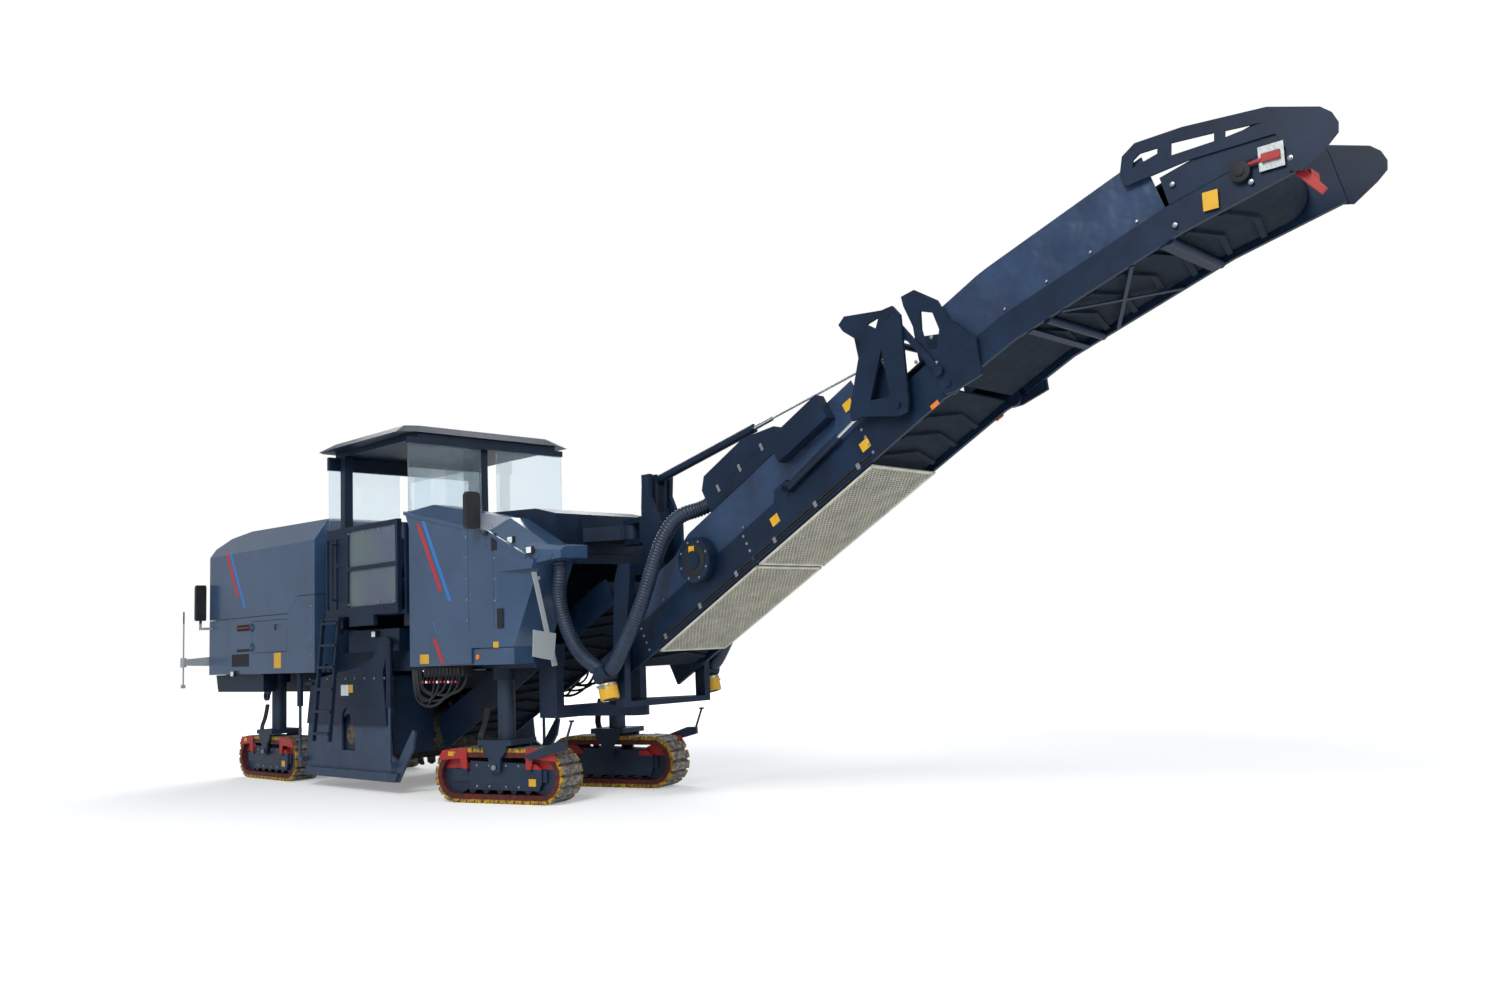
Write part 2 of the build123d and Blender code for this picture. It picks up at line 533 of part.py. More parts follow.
def make_side_walls():
    # fixed upper shields with the drum's bearing arch, and the barrels of the plate cylinders
    shapes = []
    y0, y1 = housing_half + 45, housing_half + 70
    outline = [(-4200, 830), (-2110, 830), (-2200, 1480), (-2020, 1900), (-2160, 1930), (-2460, 1660), (-2800, 1560), (-3500, 1480), (-4080, 1400)]
    outline = outline[:1] + [(drum_x - 110, 830)] + list(reversed(round_outline(drum_x, 930, 110, 10, 0.0, 180.0))) + [(drum_x + 110, 830)] + outline[1:]
    shield = prism(outline, y0, y1)
    spacers = [block(x, x + 120, housing_half, y0 + 1, 1320, 1400) for x in spacer_x]
    shapes += both(fused(shield, *spacers))
    for x, z_top in plate_barrels:
        barrel = rod((x, plate_rod_y, 1060), (x, plate_rod_y, z_top), 40)
        barrel = barrel.cut(rod((x, plate_rod_y, 1060), (x, plate_rod_y, z_top - barrel_cap), 20 + running_gap))
        reach = (x - 180, x + 20, z_top - 45) if x == plate_rod_front else (x - 20, x + 300, 1340)
        arm = block(reach[0], reach[1], y1, plate_rod_y - 10, reach[2], reach[2] + 40)
        shapes += both(fused(barrel, arm.cut(rod((x, plate_rod_y, 1000), (x, plate_rod_y, z_top - barrel_cap), 20 + running_gap))))
    return shapes


plate_rod_front, plate_rod_rear, plate_rod_y, barrel_cap = -1965.0, -4310.0, housing_half + 110.0, 30.0
# columns: place, top of the barrel
plate_barrels = ((plate_rod_front, 1880.0), (plate_rod_rear, 1780.0))


def make_side_plate(side):
    y0, y1 = side * (housing_half + 10), side * (housing_half + 10 + plate_thick)
    outline = [(-4260, plate_bottom), (-1900, plate_bottom), (-1560, 560), (-1500, 760), (-1560, 790), (-1900, 400), (-2060, 480), (-2130, 1000), (-2230, plate_top), (-3900, plate_top), (-4180, 1000), (-4260, 500)]
    hub = [(drum_x - 170, 500), (drum_x + 170, 500), (drum_x + 170, 900), (drum_x, 980), (drum_x - 170, 900)]
    plate = prism(outline, y0, y1, [hub])
    # slots that pass the shield's spacers when the plate is up
    for x in spacer_x:
        plate = plate.cut(block(x - 12, x + 132, y0 - side * 5, y1 + side * 5, 1320 - side_plate_travel - 12, plate_top + 10))
    parts = [plate]
    # the cover in front of the drum end, and the foot with the wear skid
    foot = [(-4230, plate_bottom), (-1930, plate_bottom), (-1860, 260), (-4230, 260)]
    parts.append(prism(foot, y1, side * (housing_half + 75)))
    rods = []
    for x, z_top in plate_barrels:
        rods.append(rod((x, side * plate_rod_y, 380), (x, side * plate_rod_y, z_top - barrel_cap - side_plate_travel - 10), 20))
        lug_x = (x - 30, x + 60) if x == plate_rod_front else (x - 20, x + 90)
        rods.append(block(lug_x[0], lug_x[1], y0, side * (plate_rod_y + 25), 330, 390))
    return [fused(parts[0], *parts[1:], *rods)]


def make_drum():
    shell = cross_rod(drum_x, drum_z, drum_radius, -drum_half, drum_half)
    # a pick in its holder, seen from the drum's end: the tip leans into the cut
    side = [(drum_radius - 30, -34), (drum_radius + 62, -30), (drum_radius + pick_height, 44), (drum_radius + pick_height - 8, 58), (drum_radius + 30, 40), (drum_radius - 30, 34)]
    pick = prism(side, -23, 23)
    picks = []
    rows, around = 14, 5
    for i in range(rows):
        y = -drum_half + 40 + i * (2 * drum_half - 80) / (rows - 1)
        for k in range(around):
            lead = 1 if y > 0 else -1
            turn = 360.0 * k / around + lead * y / drum_half * 150.0
            picks.append(pick.moved(Location((drum_x, y, drum_z)) * Location((0, 0, 0), (0, turn, 0))))
    ends = [cross_rod(drum_x, drum_z, 120, -housing_half, housing_half)]
    return [fused(shell, *picks, *ends)]


def bar_places(length, count_gap):
    count = int((length - 2 * count_gap) / chevron_pitch) + 1
    return [(length - (count - 1) * chevron_pitch) / 2 + i * chevron_pitch for i in range(count)]


def chevron_bars(line, face_gap, half_width, count_gap, height):
    # V bars that stand on a belt strand, one each pitch
    bars = []
    (x0, z0), (x1, z1) = line
    length, angle = hypot(x1 - x0, z1 - z0), atan2(z1 - z0, x1 - x0)
    up = 1 if face_gap > 0 else -1
    for s in bar_places(length, count_gap):
        ring = Wire.make_polygon([
            Vector(s - 60, -half_width, 0), Vector(s + 50, 0, 0), Vector(s - 60, half_width, 0),
            Vector(s - 105, half_width, 0), Vector(s + 0, 0, 0), Vector(s - 105, -half_width, 0)], close=True)
        bar = Solid.extrude(Face(ring), Vector(0, 0, up * (height + 4)))
        bar = bar.moved(Location((0, 0, face_gap - up * 4)))
        bars.append(bar.moved(Location((x0, 0, z0)) * Location((0, 0, 0), (0, -degrees(angle), 0))))
    return bars


def ring_belt(ends, radius, half, shaft_half, shaft):
    # a closed belt round two end drums, with the drums and their shafts
    (x0, z0), (x1, z1) = ends
    turn = degrees(atan2(z1 - z0, x1 - x0))
    loops = []
    for r in (radius + belt_thick, radius):
        loops.append(round_outline(x0, z0, r, 12, 90 + turn, 180.0) + round_outline(x1, z1, r, 12, -90 + turn, 180.0))
    belt = prism(loops[0], -half, half, [loops[1]])
    drums = [cross_rod(x, z, radius, -half, half) for x, z in ends]
    shafts = [cross_rod(x, z, shaft, -shaft_half, shaft_half) for x, z in ends]
    return fused(belt, *drums, *shafts)


def make_primary():
    (x0, z0), (x1, z1) = primary_low, primary_high
    angle = atan2(z1 - z0, x1 - x0)
    length = hypot(x1 - x0, z1 - z0)

    def at(s, n):
        return x0 + s * cos(angle) - n * sin(angle), z0 + s * sin(angle) + n * cos(angle)

    side = [at(-210, -200), at(length + 150, -200), at(length + 150, 110), at(-210, 230)]
    frame = []
    for sgn in (-1, 1):
        frame.append(prism(side, sgn * (primary_half - 20), sgn * primary_half))
        # feet on the inside of the main beams
        frame.append(block(-200, 100, sgn * (primary_half - 5), sgn * beam_inner, 1560, 1640))
    for s in (450, 1400, 2600):
        frame.append(prism([at(s, -20), at(s + 60, -20), at(s + 60, 20), at(s, 20)], -primary_half + 15, primary_half - 15))
    pulley, half = 120.0, primary_half - 30
    belt = ring_belt((at(0, 0), at(length, 0)), pulley, half, primary_half - 20, 45.0)
    bars = chevron_bars((at(60, 0), at(length - 60, 0)), -(pulley + belt_thick), half - 20, 60, chevron_height)
    bars += chevron_bars((at(60, 0), at(length - 60, 0)), pulley + belt_thick, half - 20, 60, chevron_height)
    return [fused(frame[0], *frame[1:])], [fused(belt, *bars)]


junction, junction_y, junction_r, hose_r = (1705.0, 1400.0), 750.0, 95.0, 80.0


def make_tower():
    # two legs outside the boom with a bridge over it, a narrow mast above, and arms to the slew pins
    leg_in, leg_out = boom_half + rail_thick + 40, boom_half + rail_thick + 120
    leg = [(lift_x - 80, lift_z - 260), (lift_x + 90, lift_z - 260), (lift_x + 110, lift_z), (1990, 2440), (1990, 2560), (1800, 2560), (1730, 2380), (lift_x - 90, lift_z)]
    parts = []
    for side in (-1, 1):
        parts.append(prism(leg, side * leg_in, side * leg_out))
    parts.append(block(1800, 1990, -leg_out, leg_out, 2450, 2560))
    # the mast: two plates with a web, up to the eye of the hoist cylinder
    mast = [(1800, 2550), (1990, 2550), (1990, 3000), (1830, 3330), (hoist_base[0] + 70, 3560), (hoist_base[0] - 60, 3560), (hoist_base[0] - 60, 3440), (1700, 3200), (1700, 2820)]
    for side in (-1, 1):
        parts.append(prism(mast, side * 130, side * 180))
        parts.append(prism([(1700, 3150), (1830, 3150), (hoist_base[0] + 70, 3560), (hoist_base[0] - 60, 3560)], side * 50, side * 80))
        parts.append(block(1700, 1830, side * 50, side * 140, 3150, 3200))
    parts.append(block(1790, 1850, -140, 140, 2550, 3150))
    # upper clevis, over and under the bracket's eye
    for z0, z1 in ((slew_high - 65, slew_high - 5), (slew_high + 165, slew_high + 225)):
        parts.append(slab([(slew_x, -110), (1800, -180), (1800, 180), (slew_x, 110)], z0, z1))
        parts.append(rod((slew_x, 0, z0), (slew_x, 0, z1), 110))
    parts.append(block(1660, 1800, -180, 180, slew_high - 65, slew_high + 225))
    parts.append(rod((slew_x, 0, slew_high - 60), (slew_x, 0, slew_high + 220), slew_pin))
    # lower yoke, over the low bearing
    low = slew_low + 125
    parts.append(slab([(slew_x, -110), (lift_x - 60, -leg_out), (lift_x + 90, -leg_out), (lift_x + 90, leg_out), (lift_x - 60, leg_out), (slew_x, 110)], low, low + 60))
    parts.append(rod((slew_x, 0, low), (slew_x, 0, low + 60), 110))
    parts.append(rod((slew_x, 0, slew_low + 5), (slew_x, 0, low + 60), slew_pin))
    for side in (-1, 1):
        parts.append(block(lift_x - 60, lift_x + 90, side * leg_in, side * leg_out, low, lift_z - 250))
        # junction that joins the two dust hoses of this side
        parts.append(block(junction[0] + 5, junction[0] + 55, side * (leg_out - 5), side * (junction_y - 70), junction[1] + 30, junction[1] + 80))
        parts.append(cross_rod(*junction, junction_r, side * (junction_y - junction_r), side * (junction_y + junction_r)))
    body = fused(parts[0], *parts[1:])
    pin = cross_rod(hoist_base[0], hoist_base[1], 20, -80, 80)
    holes = [cross_rod(lift_x, lift_z, 45 + running_gap, side * (leg_in - 10), side * (leg_out + 10)) for side in (-1, 1)]
    return [fused(body.cut(*holes), pin)]


def unit(a, b):
    d = hypot(b[0] - a[0], b[1] - a[1])
    return (b[0] - a[0]) / d, (b[1] - a[1]) / d, d


def make_cylinder(base, end, barrel_length, barrel_r, rod_r, y, eye, rod_start, rod_end, stroke_in):
    # a barrel from its base eye, and a rod that slides in it
    dx, dz, _ = unit(base, end)

    def at(s):
        return base[0] + dx * s, y, base[1] + dz * s

    barrel = rod(at(eye * 0.6), at(barrel_length), barrel_r).cut(rod(at(rod_start - stroke_in - 25), at(barrel_length + 5), rod_r + running_gap))
    knuckle = cross_rod(base[0], base[1], eye, y - barrel_r * 0.6, y + barrel_r * 0.6)
    return fused(barrel, knuckle), rod(at(rod_start), at(rod_end), rod_r)


hoist_barrel_length, hoist_rod_end = 1560.0, 1660.0


def make_hoist():
    barrel, piston = make_cylinder(hoist_base, hoist_end, hoist_barrel_length, 48.0, 26.0, 0.0, 48.0, 480.0, hoist_rod_end, 210.0)
    dx, dz, span = unit(hoist_base, hoist_end)

    def at(s):
        return hoist_base[0] + dx * s, 0.0, hoist_base[1] + dz * s

    rope = rod(at(hoist_rod_end - 5), at(span - 90), 11)
    sockets = [rod(at(hoist_rod_end - 10), at(hoist_rod_end + 160), 24), rod(at(span - 260), at(span - 60), 22)]
    return barrel.cut(cross_rod(hoist_base[0], hoist_base[1], 20 + running_gap, -81, 81)), fused(piston, rope, *sockets)


def make_lower_frame():
    parts = []
    end = fold_u - 100
    for side in (-1, 1):
        y0, y1 = side * boom_half, side * (boom_half + rail_thick)
        parts.append(boom_plate([(-450, rail_low), (end, rail_low), (end + 40, -120), (end, rail_high), (-450, rail_high)], y0, y1))
        ear = prism(round_outline(*boom(fold_u, fold_w), 85, 24), y0, y1)
        parts.append(ear)
        parts.append(boom_plate([(end - 60, rail_low + 5), (fold_u - 20, fold_w - 70), (fold_u - 20, fold_w + 80), (end - 60, rail_high)], y0, y1))
        # post that carries the stay, and the end plate at the fold
        parts.append(boom_plate([(3950, rail_high - 5), (4300, rail_high - 5), (4300, 820), (4180, 820)], y0, y1))
    for u in (420, 1350, 2300, 3300, 4200):
        parts.append(boom_box(u, u + 60, -boom_half - 5, boom_half + 5, -30, 30))
    parts.append(cross_rod(*boom(4240, 780), 32, -boom_half - 5, boom_half + 5))
    # raised lugs of the fold cylinders
    for side in (-1, 1):
        parts.append(boom_plate([(2560, rail_high - 5), (2880, rail_high - 5), (2800, 200), (2640, 200)], side * boom_half, side * (boom_half + rail_thick)))
    for side in (-1, 1):
        parts.append(boom_plate([(4040, 730), (4250, 745), (4250, 815), (4040, 815)], side * 34, side * 48))
    body = fused(parts[0], *parts[1:])
    hinge = boom(fold_u, fold_w)
    body = body.cut(cross_rod(hinge[0], hinge[1], 30 + running_gap, -boom_half - 80, boom_half + 80))
    # trunnions at the lift pivot
    pins = [cross_rod(lift_x, lift_z, 45, side * (boom_half + rail_thick - 5), side * (boom_half + rail_thick + 130)) for side in (-1, 1)]
    body = fused(body, *pins)
    for base in (fold_cyl_base, lever_pivot):
        for side in (-1, 1):
            body = fused(body, cross_rod(base[0], base[1], 24, side * (boom_half + rail_thick - 5), side * 648))
    return [body]


lever_pivot, lever_top, lever_eye = (5600.0, 3666.0), (5521.0, 4473.0), (5123.0, 3665.0)
link_end, fold_cyl_base = (5994.0, 3901.0), (4200.0, 3103.0)


def make_lower_covers():
    outline = [(60, rail_high), (2550, rail_high), (2630, 206), (2810, 206), (2890, rail_high), (3940, rail_high), (3940, cover_high), (1400, cover_high), (1100, 430), (330, 430)]
    return both(boom_plate(outline, boom_half + 8, boom_half + 28))


def make_lower_belt():
    half = belt_half
    r = drum_r
    end_top, end_low = fold_u - 5, fold_u - 60
    outer = [boom(end_top, r + belt_thick)] + [boom(u, w) for u, w in round_outline(0, 0, r + belt_thick, 14, 90.0, 180.0)] + [boom(end_low, -r - belt_thick), boom(end_low, -r)]
    inner = [boom(u, w) for u, w in round_outline(0, 0, r, 14, 270.0, -180.0)] + [boom(end_top, r)]
    belt = prism(outer + inner, -half, half)
    line = (boom(60, 0), boom(fold_u - 160, 0))
    bars = chevron_bars(line, r + belt_thick, half - 20, 60, chevron_height)
    bars += chevron_bars(line, -r - belt_thick, half - 20, 60, chevron_height)
    tail = [cross_rod(*boom(0, 0), r, -half, half), cross_rod(*boom(0, 0), 45, -boom_half, boom_half)]
    return [fused(belt, *bars, *tail)]


def make_mesh_guard():
    panels = []
    for u0, u1 in ((410.0, 2050.0), (2080.0, 3720.0)):
        face = [boom(u0, rail_low - 34), boom(u1, rail_low - 34)]
        nu, nv = 16, 6
        edge, bar = 45.0, 16.0
        plate = boom_box(u0, u1, -boom_half - 20, boom_half + 20, rail_low - 34, rail_low)
        holes = []
        cell_u = (u1 - u0 - 2 * edge - (nu - 1) * bar) / nu
        cell_v = (2 * (boom_half + 20) - 2 * edge - (nv - 1) * bar) / nv
        for i in range(nu):
            for k in range(nv):
                a = u0 + edge + i * (cell_u + bar)
                b = -boom_half - 20 + edge + k * (cell_v + bar)
                holes.append(boom_box(a, a + cell_u, b, b + cell_v, rail_low - 40, rail_low + 2))
        panels.append(plate.cut(*holes))
    return panels


def make_dust_fan():
    # the extraction unit on top of the boom, its side duct and the round fan on the right
    box = boom_plate([(1750, cover_high + 4), (2900, cover_high + 4), (2900, 780), (2500, 930), (1850, 930), (1750, 820)], -420, 420)
    neck = rod((*[boom(1600, 800)[0]], 0, boom(1600, 800)[1]), (boom(1760, 800)[0], 0, boom(1760, 800)[1]), 90)
    sides = []
    for side in (-1, 1):
        sides.append(boom_box(2900, 3600, side * (boom_half + 28), side * (boom_half + 150), 330, 590))
    fan_x, fan_z = boom(1450, 170)
    wheel = fused(cross_rod(fan_x, fan_z, 230, -boom_half - 150, -boom_half - rail_thick), cross_rod(fan_x, fan_z, 90, -boom_half - 175, -boom_half - rail_thick))
    saddle = boom_box(1800, 2850, -boom_half - 28, boom_half + 28, cover_high, cover_high + 4)
    return [fused(box, neck, saddle), *sides, wheel]


def upper_base():
    # the bottom line of the upper boom, from its runs
    x, z = boom(fold_u + fold_clear, rail_low)
    points = [(x, z)]
    for length, angle in upper_runs:
        x, z = x + length * cos(radians(angle)), z + length * sin(radians(angle))
        points.append((x, z))
    return points


def band(points, low, high):
    return offset_line(points, low) + list(reversed(offset_line(points, high)))


def flat_bar(a, b, start, end, width, low=-8.0, high=4.0):
    # a flat bar in the plane of a run from a to b; start and end are (place along the run, y)
    turn = atan2(end[1] - start[1], end[0] - start[0])
    dx, dy = -sin(turn) * width / 2, cos(turn) * width / 2
    ring = [(start[0] + dx, start[1] + dy), (end[0] + dx, end[1] + dy), (end[0] - dx, end[1] - dy), (start[0] - dx, start[1] - dy)]
    angle = atan2(b[1] - a[1], b[0] - a[0])
    return slab(ring, low, high).moved(Location((a[0], 0, a[1])) * Location((0, 0, 0), (0, -degrees(angle), 0)))


def return_roller(line, count_gap, share, half):
    # a roller that lies under the return strand, between two of its bars
    (x0, z0), (x1, z1) = line
    length, angle = hypot(x1 - x0, z1 - z0), atan2(z1 - z0, x1 - x0)
    s = min(bar_places(length, count_gap), key=lambda place: abs(place - share * length)) + 0.4 * chevron_pitch
    n = -drum_r - belt_thick - return_roller_r - seat_gap
    return cross_rod(x0 + s * cos(angle) - n * sin(angle), z0 + s * sin(angle) + n * cos(angle), return_roller_r, -half, half)


return_roller_r = 35.0


def make_upper():
    base = upper_base()
    y0, y1 = boom_half, boom_half + rail_thick
    parts = []
    rail = band(base, 0.0, 240.0)
    # hook plate round the fold pin, outside the rails
    fx, fz = fold_x, fold_z
    hook = [(fx + 60, fz - 75), (fx + 330, fz + 20), (fx + 300, fz + 330), (fx + 30, fz + 560), (fx - 70, fz + 740), (fx - 300, fz + 880), (fx - 440, fz + 850), (fx - 420, fz + 760),
            (fx - 330, fz + 560), (fx - 300, fz + 330), (fx - 180, fz + 160), (fx - 90, fz + 60), (fx - 95, fz - 30), (fx - 40, fz - 85)]
    window = [(fx - 250, fz + 680), (fx - 120, fz + 640), (fx - 60, fz + 480), (fx - 90, fz + 320), (fx - 200, fz + 330), (fx - 250, fz + 520)]
    for side in (-1, 1):
        parts.append(prism(rail, side * y0, side * y1))
        parts.append(prism(hook, side * (y1 + 10), side * (y1 + 40), [window]))
        parts.append(block(fx + 200, fx + 300, side * (y1 - 5), side * (y1 + 11), fz + 60, fz + 240))
        parts.append(cross_rod(fx, fz, 30, side * (y0 - 10), side * (y1 + 60)))
        parts.append(prism(head_outline(base), side * (y1 + 4), side * (y1 + 22), head_windows(base)))
        inner = band(base[2:], 239.0, 470.0)
        parts.append(prism(inner, side * (y0 + 5), side * (y1 + 5)))
    for i, share in ((0, 0.55), (1, 0.2), (1, 0.55), (1, 0.9), (2, 0.12)):
        (ax, az), (bx, bz) = base[i], base[i + 1]
        x, z = ax + (bx - ax) * share, az + (bz - az) * share
        turn = atan2(bz - az, bx - ax)
        x, z = x - sin(turn) * 190, z + cos(turn) * 190
        parts.append(cross_rod(x, z, 30, -y0 - 5, y0 + 5))
    # under the return strand: flat cross bars, an X brace and two return rollers between the belt's bars
    span, reach = hypot(base[2][0] - base[1][0], base[2][1] - base[1][1]), y0 + 6
    for share in (0.10, 0.90):
        parts.append(flat_bar(base[1], base[2], (share * span, -reach), (share * span, reach), 60.0))
    for side in (-1, 1):
        parts.append(flat_bar(base[1], base[2], (0.30 * span, -side * reach), (0.72 * span, side * reach), 34.0))
    middle = offset_line(base, -rail_low)
    for share in (0.2, 0.8):
        parts.append(return_roller((middle[1], middle[2]), 90, share, y0 + 5))
    frame = fused(parts[0], *parts[1:])
    outline = offset_line(base[:3], 240.0) + [(offset_line(base[:3], 700.0)[2][0] - 60, offset_line(base[:3], 700.0)[2][1] - 30)] + list(reversed(offset_line(base[:3], 720.0)[1:2])) + [offset_line(base[:3], 690.0)[0]]
    covers = both(prism(outline, y0 + 8, y0 + 28))
    return [frame], covers


def head_centre(base):
    (ax, az), (bx, bz) = base[2], base[3]
    turn = atan2(bz - az, bx - ax)
    length = hypot(bx - ax, bz - az) - 420
    return ax + length * cos(turn) - sin(turn) * (drum_r + 62), az + length * sin(turn) + cos(turn) * (drum_r + 62)


def from_tip(base, steps):
    x, z = base[3]
    return [(x + dx, z + dz) for dx, dz in steps]


def head_outline(base):
    # the rounded deflector plates at the head: forward and up from the end of the bottom line
    upper = ((-1273, 237), (-1299, 336), (-1269, 478), (-1161, 550), (-784, 555), (-173, 501), (179, 383), (248, 323), (284, 244), (278, 172), (203, 101), (29, -21))
    lower = ((-60, 0), (-60, 150), (-130, 292), (-747, 294), (-1200, 245))
    return from_tip(base, upper + lower)


def head_windows(base):
    slots = (
        ((-1192, 364), (-989, 414), (-985, 457), (-1130, 458), (-1184, 422)),
        ((-888, 367), (-559, 373), (-554, 436), (-880, 461)),
        ((-481, 376), (-209, 400), (-477, 425)),
    )
    return [from_tip(base, slot) for slot in slots]


def make_upper_belt():
    base = upper_base()
    half = belt_half
    hx, hz = head_centre(base)
    turn = degrees(atan2(base[3][1] - base[2][1], base[3][0] - base[2][0]))
    low = rail_low
    gap_low = -drum_r - belt_thick - low
    gap_high = drum_r + belt_thick - low
    cut_back = [(base[0][0] - 110 * cos(radians(boom_angle)), base[0][1] - 110 * sin(radians(boom_angle)))] + base[1:3]
    low_out, low_in = offset_line(cut_back, gap_low), offset_line(cut_back, gap_low + belt_thick)
    high_start = [(base[0][0] - 143 * cos(radians(boom_angle)), base[0][1] - 143 * sin(radians(boom_angle)))] + base[1:3]
    high_out, high_in = offset_line(high_start, gap_high), offset_line(high_start, gap_high - belt_thick)
    wrap_out = round_outline(hx, hz, drum_r + belt_thick, 14, turn - 90, 180.0)
    wrap_in = round_outline(hx, hz, drum_r, 14, turn + 90, -180.0)
    outline = low_out + wrap_out + list(reversed(high_out)) + high_in + wrap_in + list(reversed(low_in))
    belt = prism(outline, -half, half)
    bars = []
    mid = offset_line(base, -low)
    for a, b in ((mid[1], mid[2]), (mid[2], (hx, hz))):
        for face in (drum_r + belt_thick, -drum_r - belt_thick):
            bars += chevron_bars((a, b), face, half - 20, 90, chevron_height)
    head = [cross_rod(hx, hz, drum_r, -half, half), cross_rod(hx, hz, 45, -boom_half + seat_gap, boom_half - seat_gap)]
    return [fused(belt, *bars, *head)]


fold_x, fold_z = boom(fold_u, fold_w)


def make_levers():
    y0, y1 = boom_half + 125, boom_half + 155
    p, t, e = lever_pivot, lever_top, lever_eye
    outline = [(p[0] - 20, p[1] - 95), (p[0] + 80, p[1] - 70), (p[0] + 100, p[1] + 20), (t[0] + 140, t[1] - 20), (t[0] + 60, t[1] + 75), (t[0] - 60, t[1] + 60), (t[0] - 480, t[1] + 95), (t[0] - 550, t[1] + 30), (t[0] - 500, t[1] - 40),
               (t[0] - 300, t[1] - 180), (e[0] - 70, e[1] + 40), (e[0] - 50, e[1] - 60), (e[0] + 90, e[1] - 40)]
    slot = [(p[0] - 310, p[1] + 90), (p[0] - 90, p[1] + 90), (t[0] - 80, t[1] - 280)]
    small = [(t[0] - 230, t[1] - 30), (t[0] - 90, t[1] + 10), (t[0] - 130, t[1] - 90)]
    hole = round_outline(p[0], p[1], 25, 20)
    plates = both(prism(outline, y0, y1, [slot, small, hole]))
    pins = [cross_rod(t[0], t[1], 22, side * (y0 - 36), side * (y1 + 6)) for side in (-1, 1)]
    tie = cross_rod(t[0] - 480, t[1] + 30, 20, -y0 - 5, y0 + 5)
    return [fused(plates[0], plates[1], tie, *pins)]


def make_links():
    y0, y1 = boom_half + 92, boom_half + 112
    a, b = lever_top, link_end
    dx, dz, span = unit(a, b)
    links = []
    for side in (-1, 1):
        bar = prism([(a[0] - dz * 30, a[1] + dx * 30), (a[0] + dz * 30, a[1] - dx * 30), (b[0] + dz * 30, b[1] - dx * 30), (b[0] - dz * 30, b[1] + dx * 30)], side * y0, side * y1)
        # the front end stands beside the hook plate: the linkage is open there
        knobs = [cross_rod(a[0], a[1], 46, side * y0, side * y1), cross_rod(b[0], b[1], 46, side * (y0 - 7), side * (y1 + 8))]
        link = fused(bar, *knobs)
        links.append(link.cut(cross_rod(a[0], a[1], 22 + running_gap, side * (y0 - 1), side * (y1 + 1))))
    return links


def make_fold_cylinders():
    y = boom_half + 85
    barrels, rods = [], []
    for side in (-1, 1):
        barrel, piston = make_cylinder(fold_cyl_base, lever_eye, 760.0, 36.0, 20.0, side * y, 40.0, 120.0, 1080.0, 0.0)
        barrel = barrel.cut(cross_rod(fold_cyl_base[0], fold_cyl_base[1], 24 + running_gap, side * (y - 60), side * (y + 60)))
        eye = cross_rod(lever_eye[0], lever_eye[1], 34, side * (y - 16), side * (y + 34))
        barrels.append(barrel)
        rods.append(fused(piston, eye))
    return barrels, rods


def hose(points, radius, bends):
    path = FilletPolyline(*[Vector(*p) for p in points], radius=bends)
    start = points[0]
    direction = (Vector(*points[1]) - Vector(*start)).normalized()
    section = Plane(origin=start, z_dir=direction) * Circle(radius)
    return sweep(section, path=path)


def make_dust_hoses():
    # on each side one hose from the pod to the junction, one from there to the fan, and the cap below it
    jx, jz = junction
    reach = junction_r + seat_gap
    def seat(side, out):
        return jx + side * 0.87 * (reach + out), junction_y, jz + 0.493 * (reach + out)

    def fan(u):
        x, z = boom(u, 690)
        return x, 330, z

    rear = [(1255, 970, 2625.4), (1268, 970, 2505), (1150, 925, 2215), (1235, 860, 1835), (1375, 800, 1600), seat(-1, 60), seat(-1, 0)]
    front = [seat(1, 0), seat(1, 60), (1975, junction_y, 1650), (2270, 740, 2055), (2450, 720, 2450), (2575, 690, 2740), (2740, 620, 2990), fan(1640), fan(1750 - seat_gap)]
    solids = []
    for points in (rear, front):
        solids += both(hose(points, hose_r, 110.0))
    d = (0.25, -0.968)
    cap = rod((jx + d[0] * reach, junction_y, jz + d[1] * reach), (jx + d[0] * (reach + 170), junction_y, jz + d[1] * (reach + 170)), 105)
    return solids + both(cap)


def side_plate_yz(points, x0, x1):
    # an outline in the YZ plane, extruded along X
    ring = Wire.make_polygon([Vector(x0, y, z) for y, z in points], close=True)
    return Solid.extrude(Face(ring), Vector(x1 - x0, 0, 0))


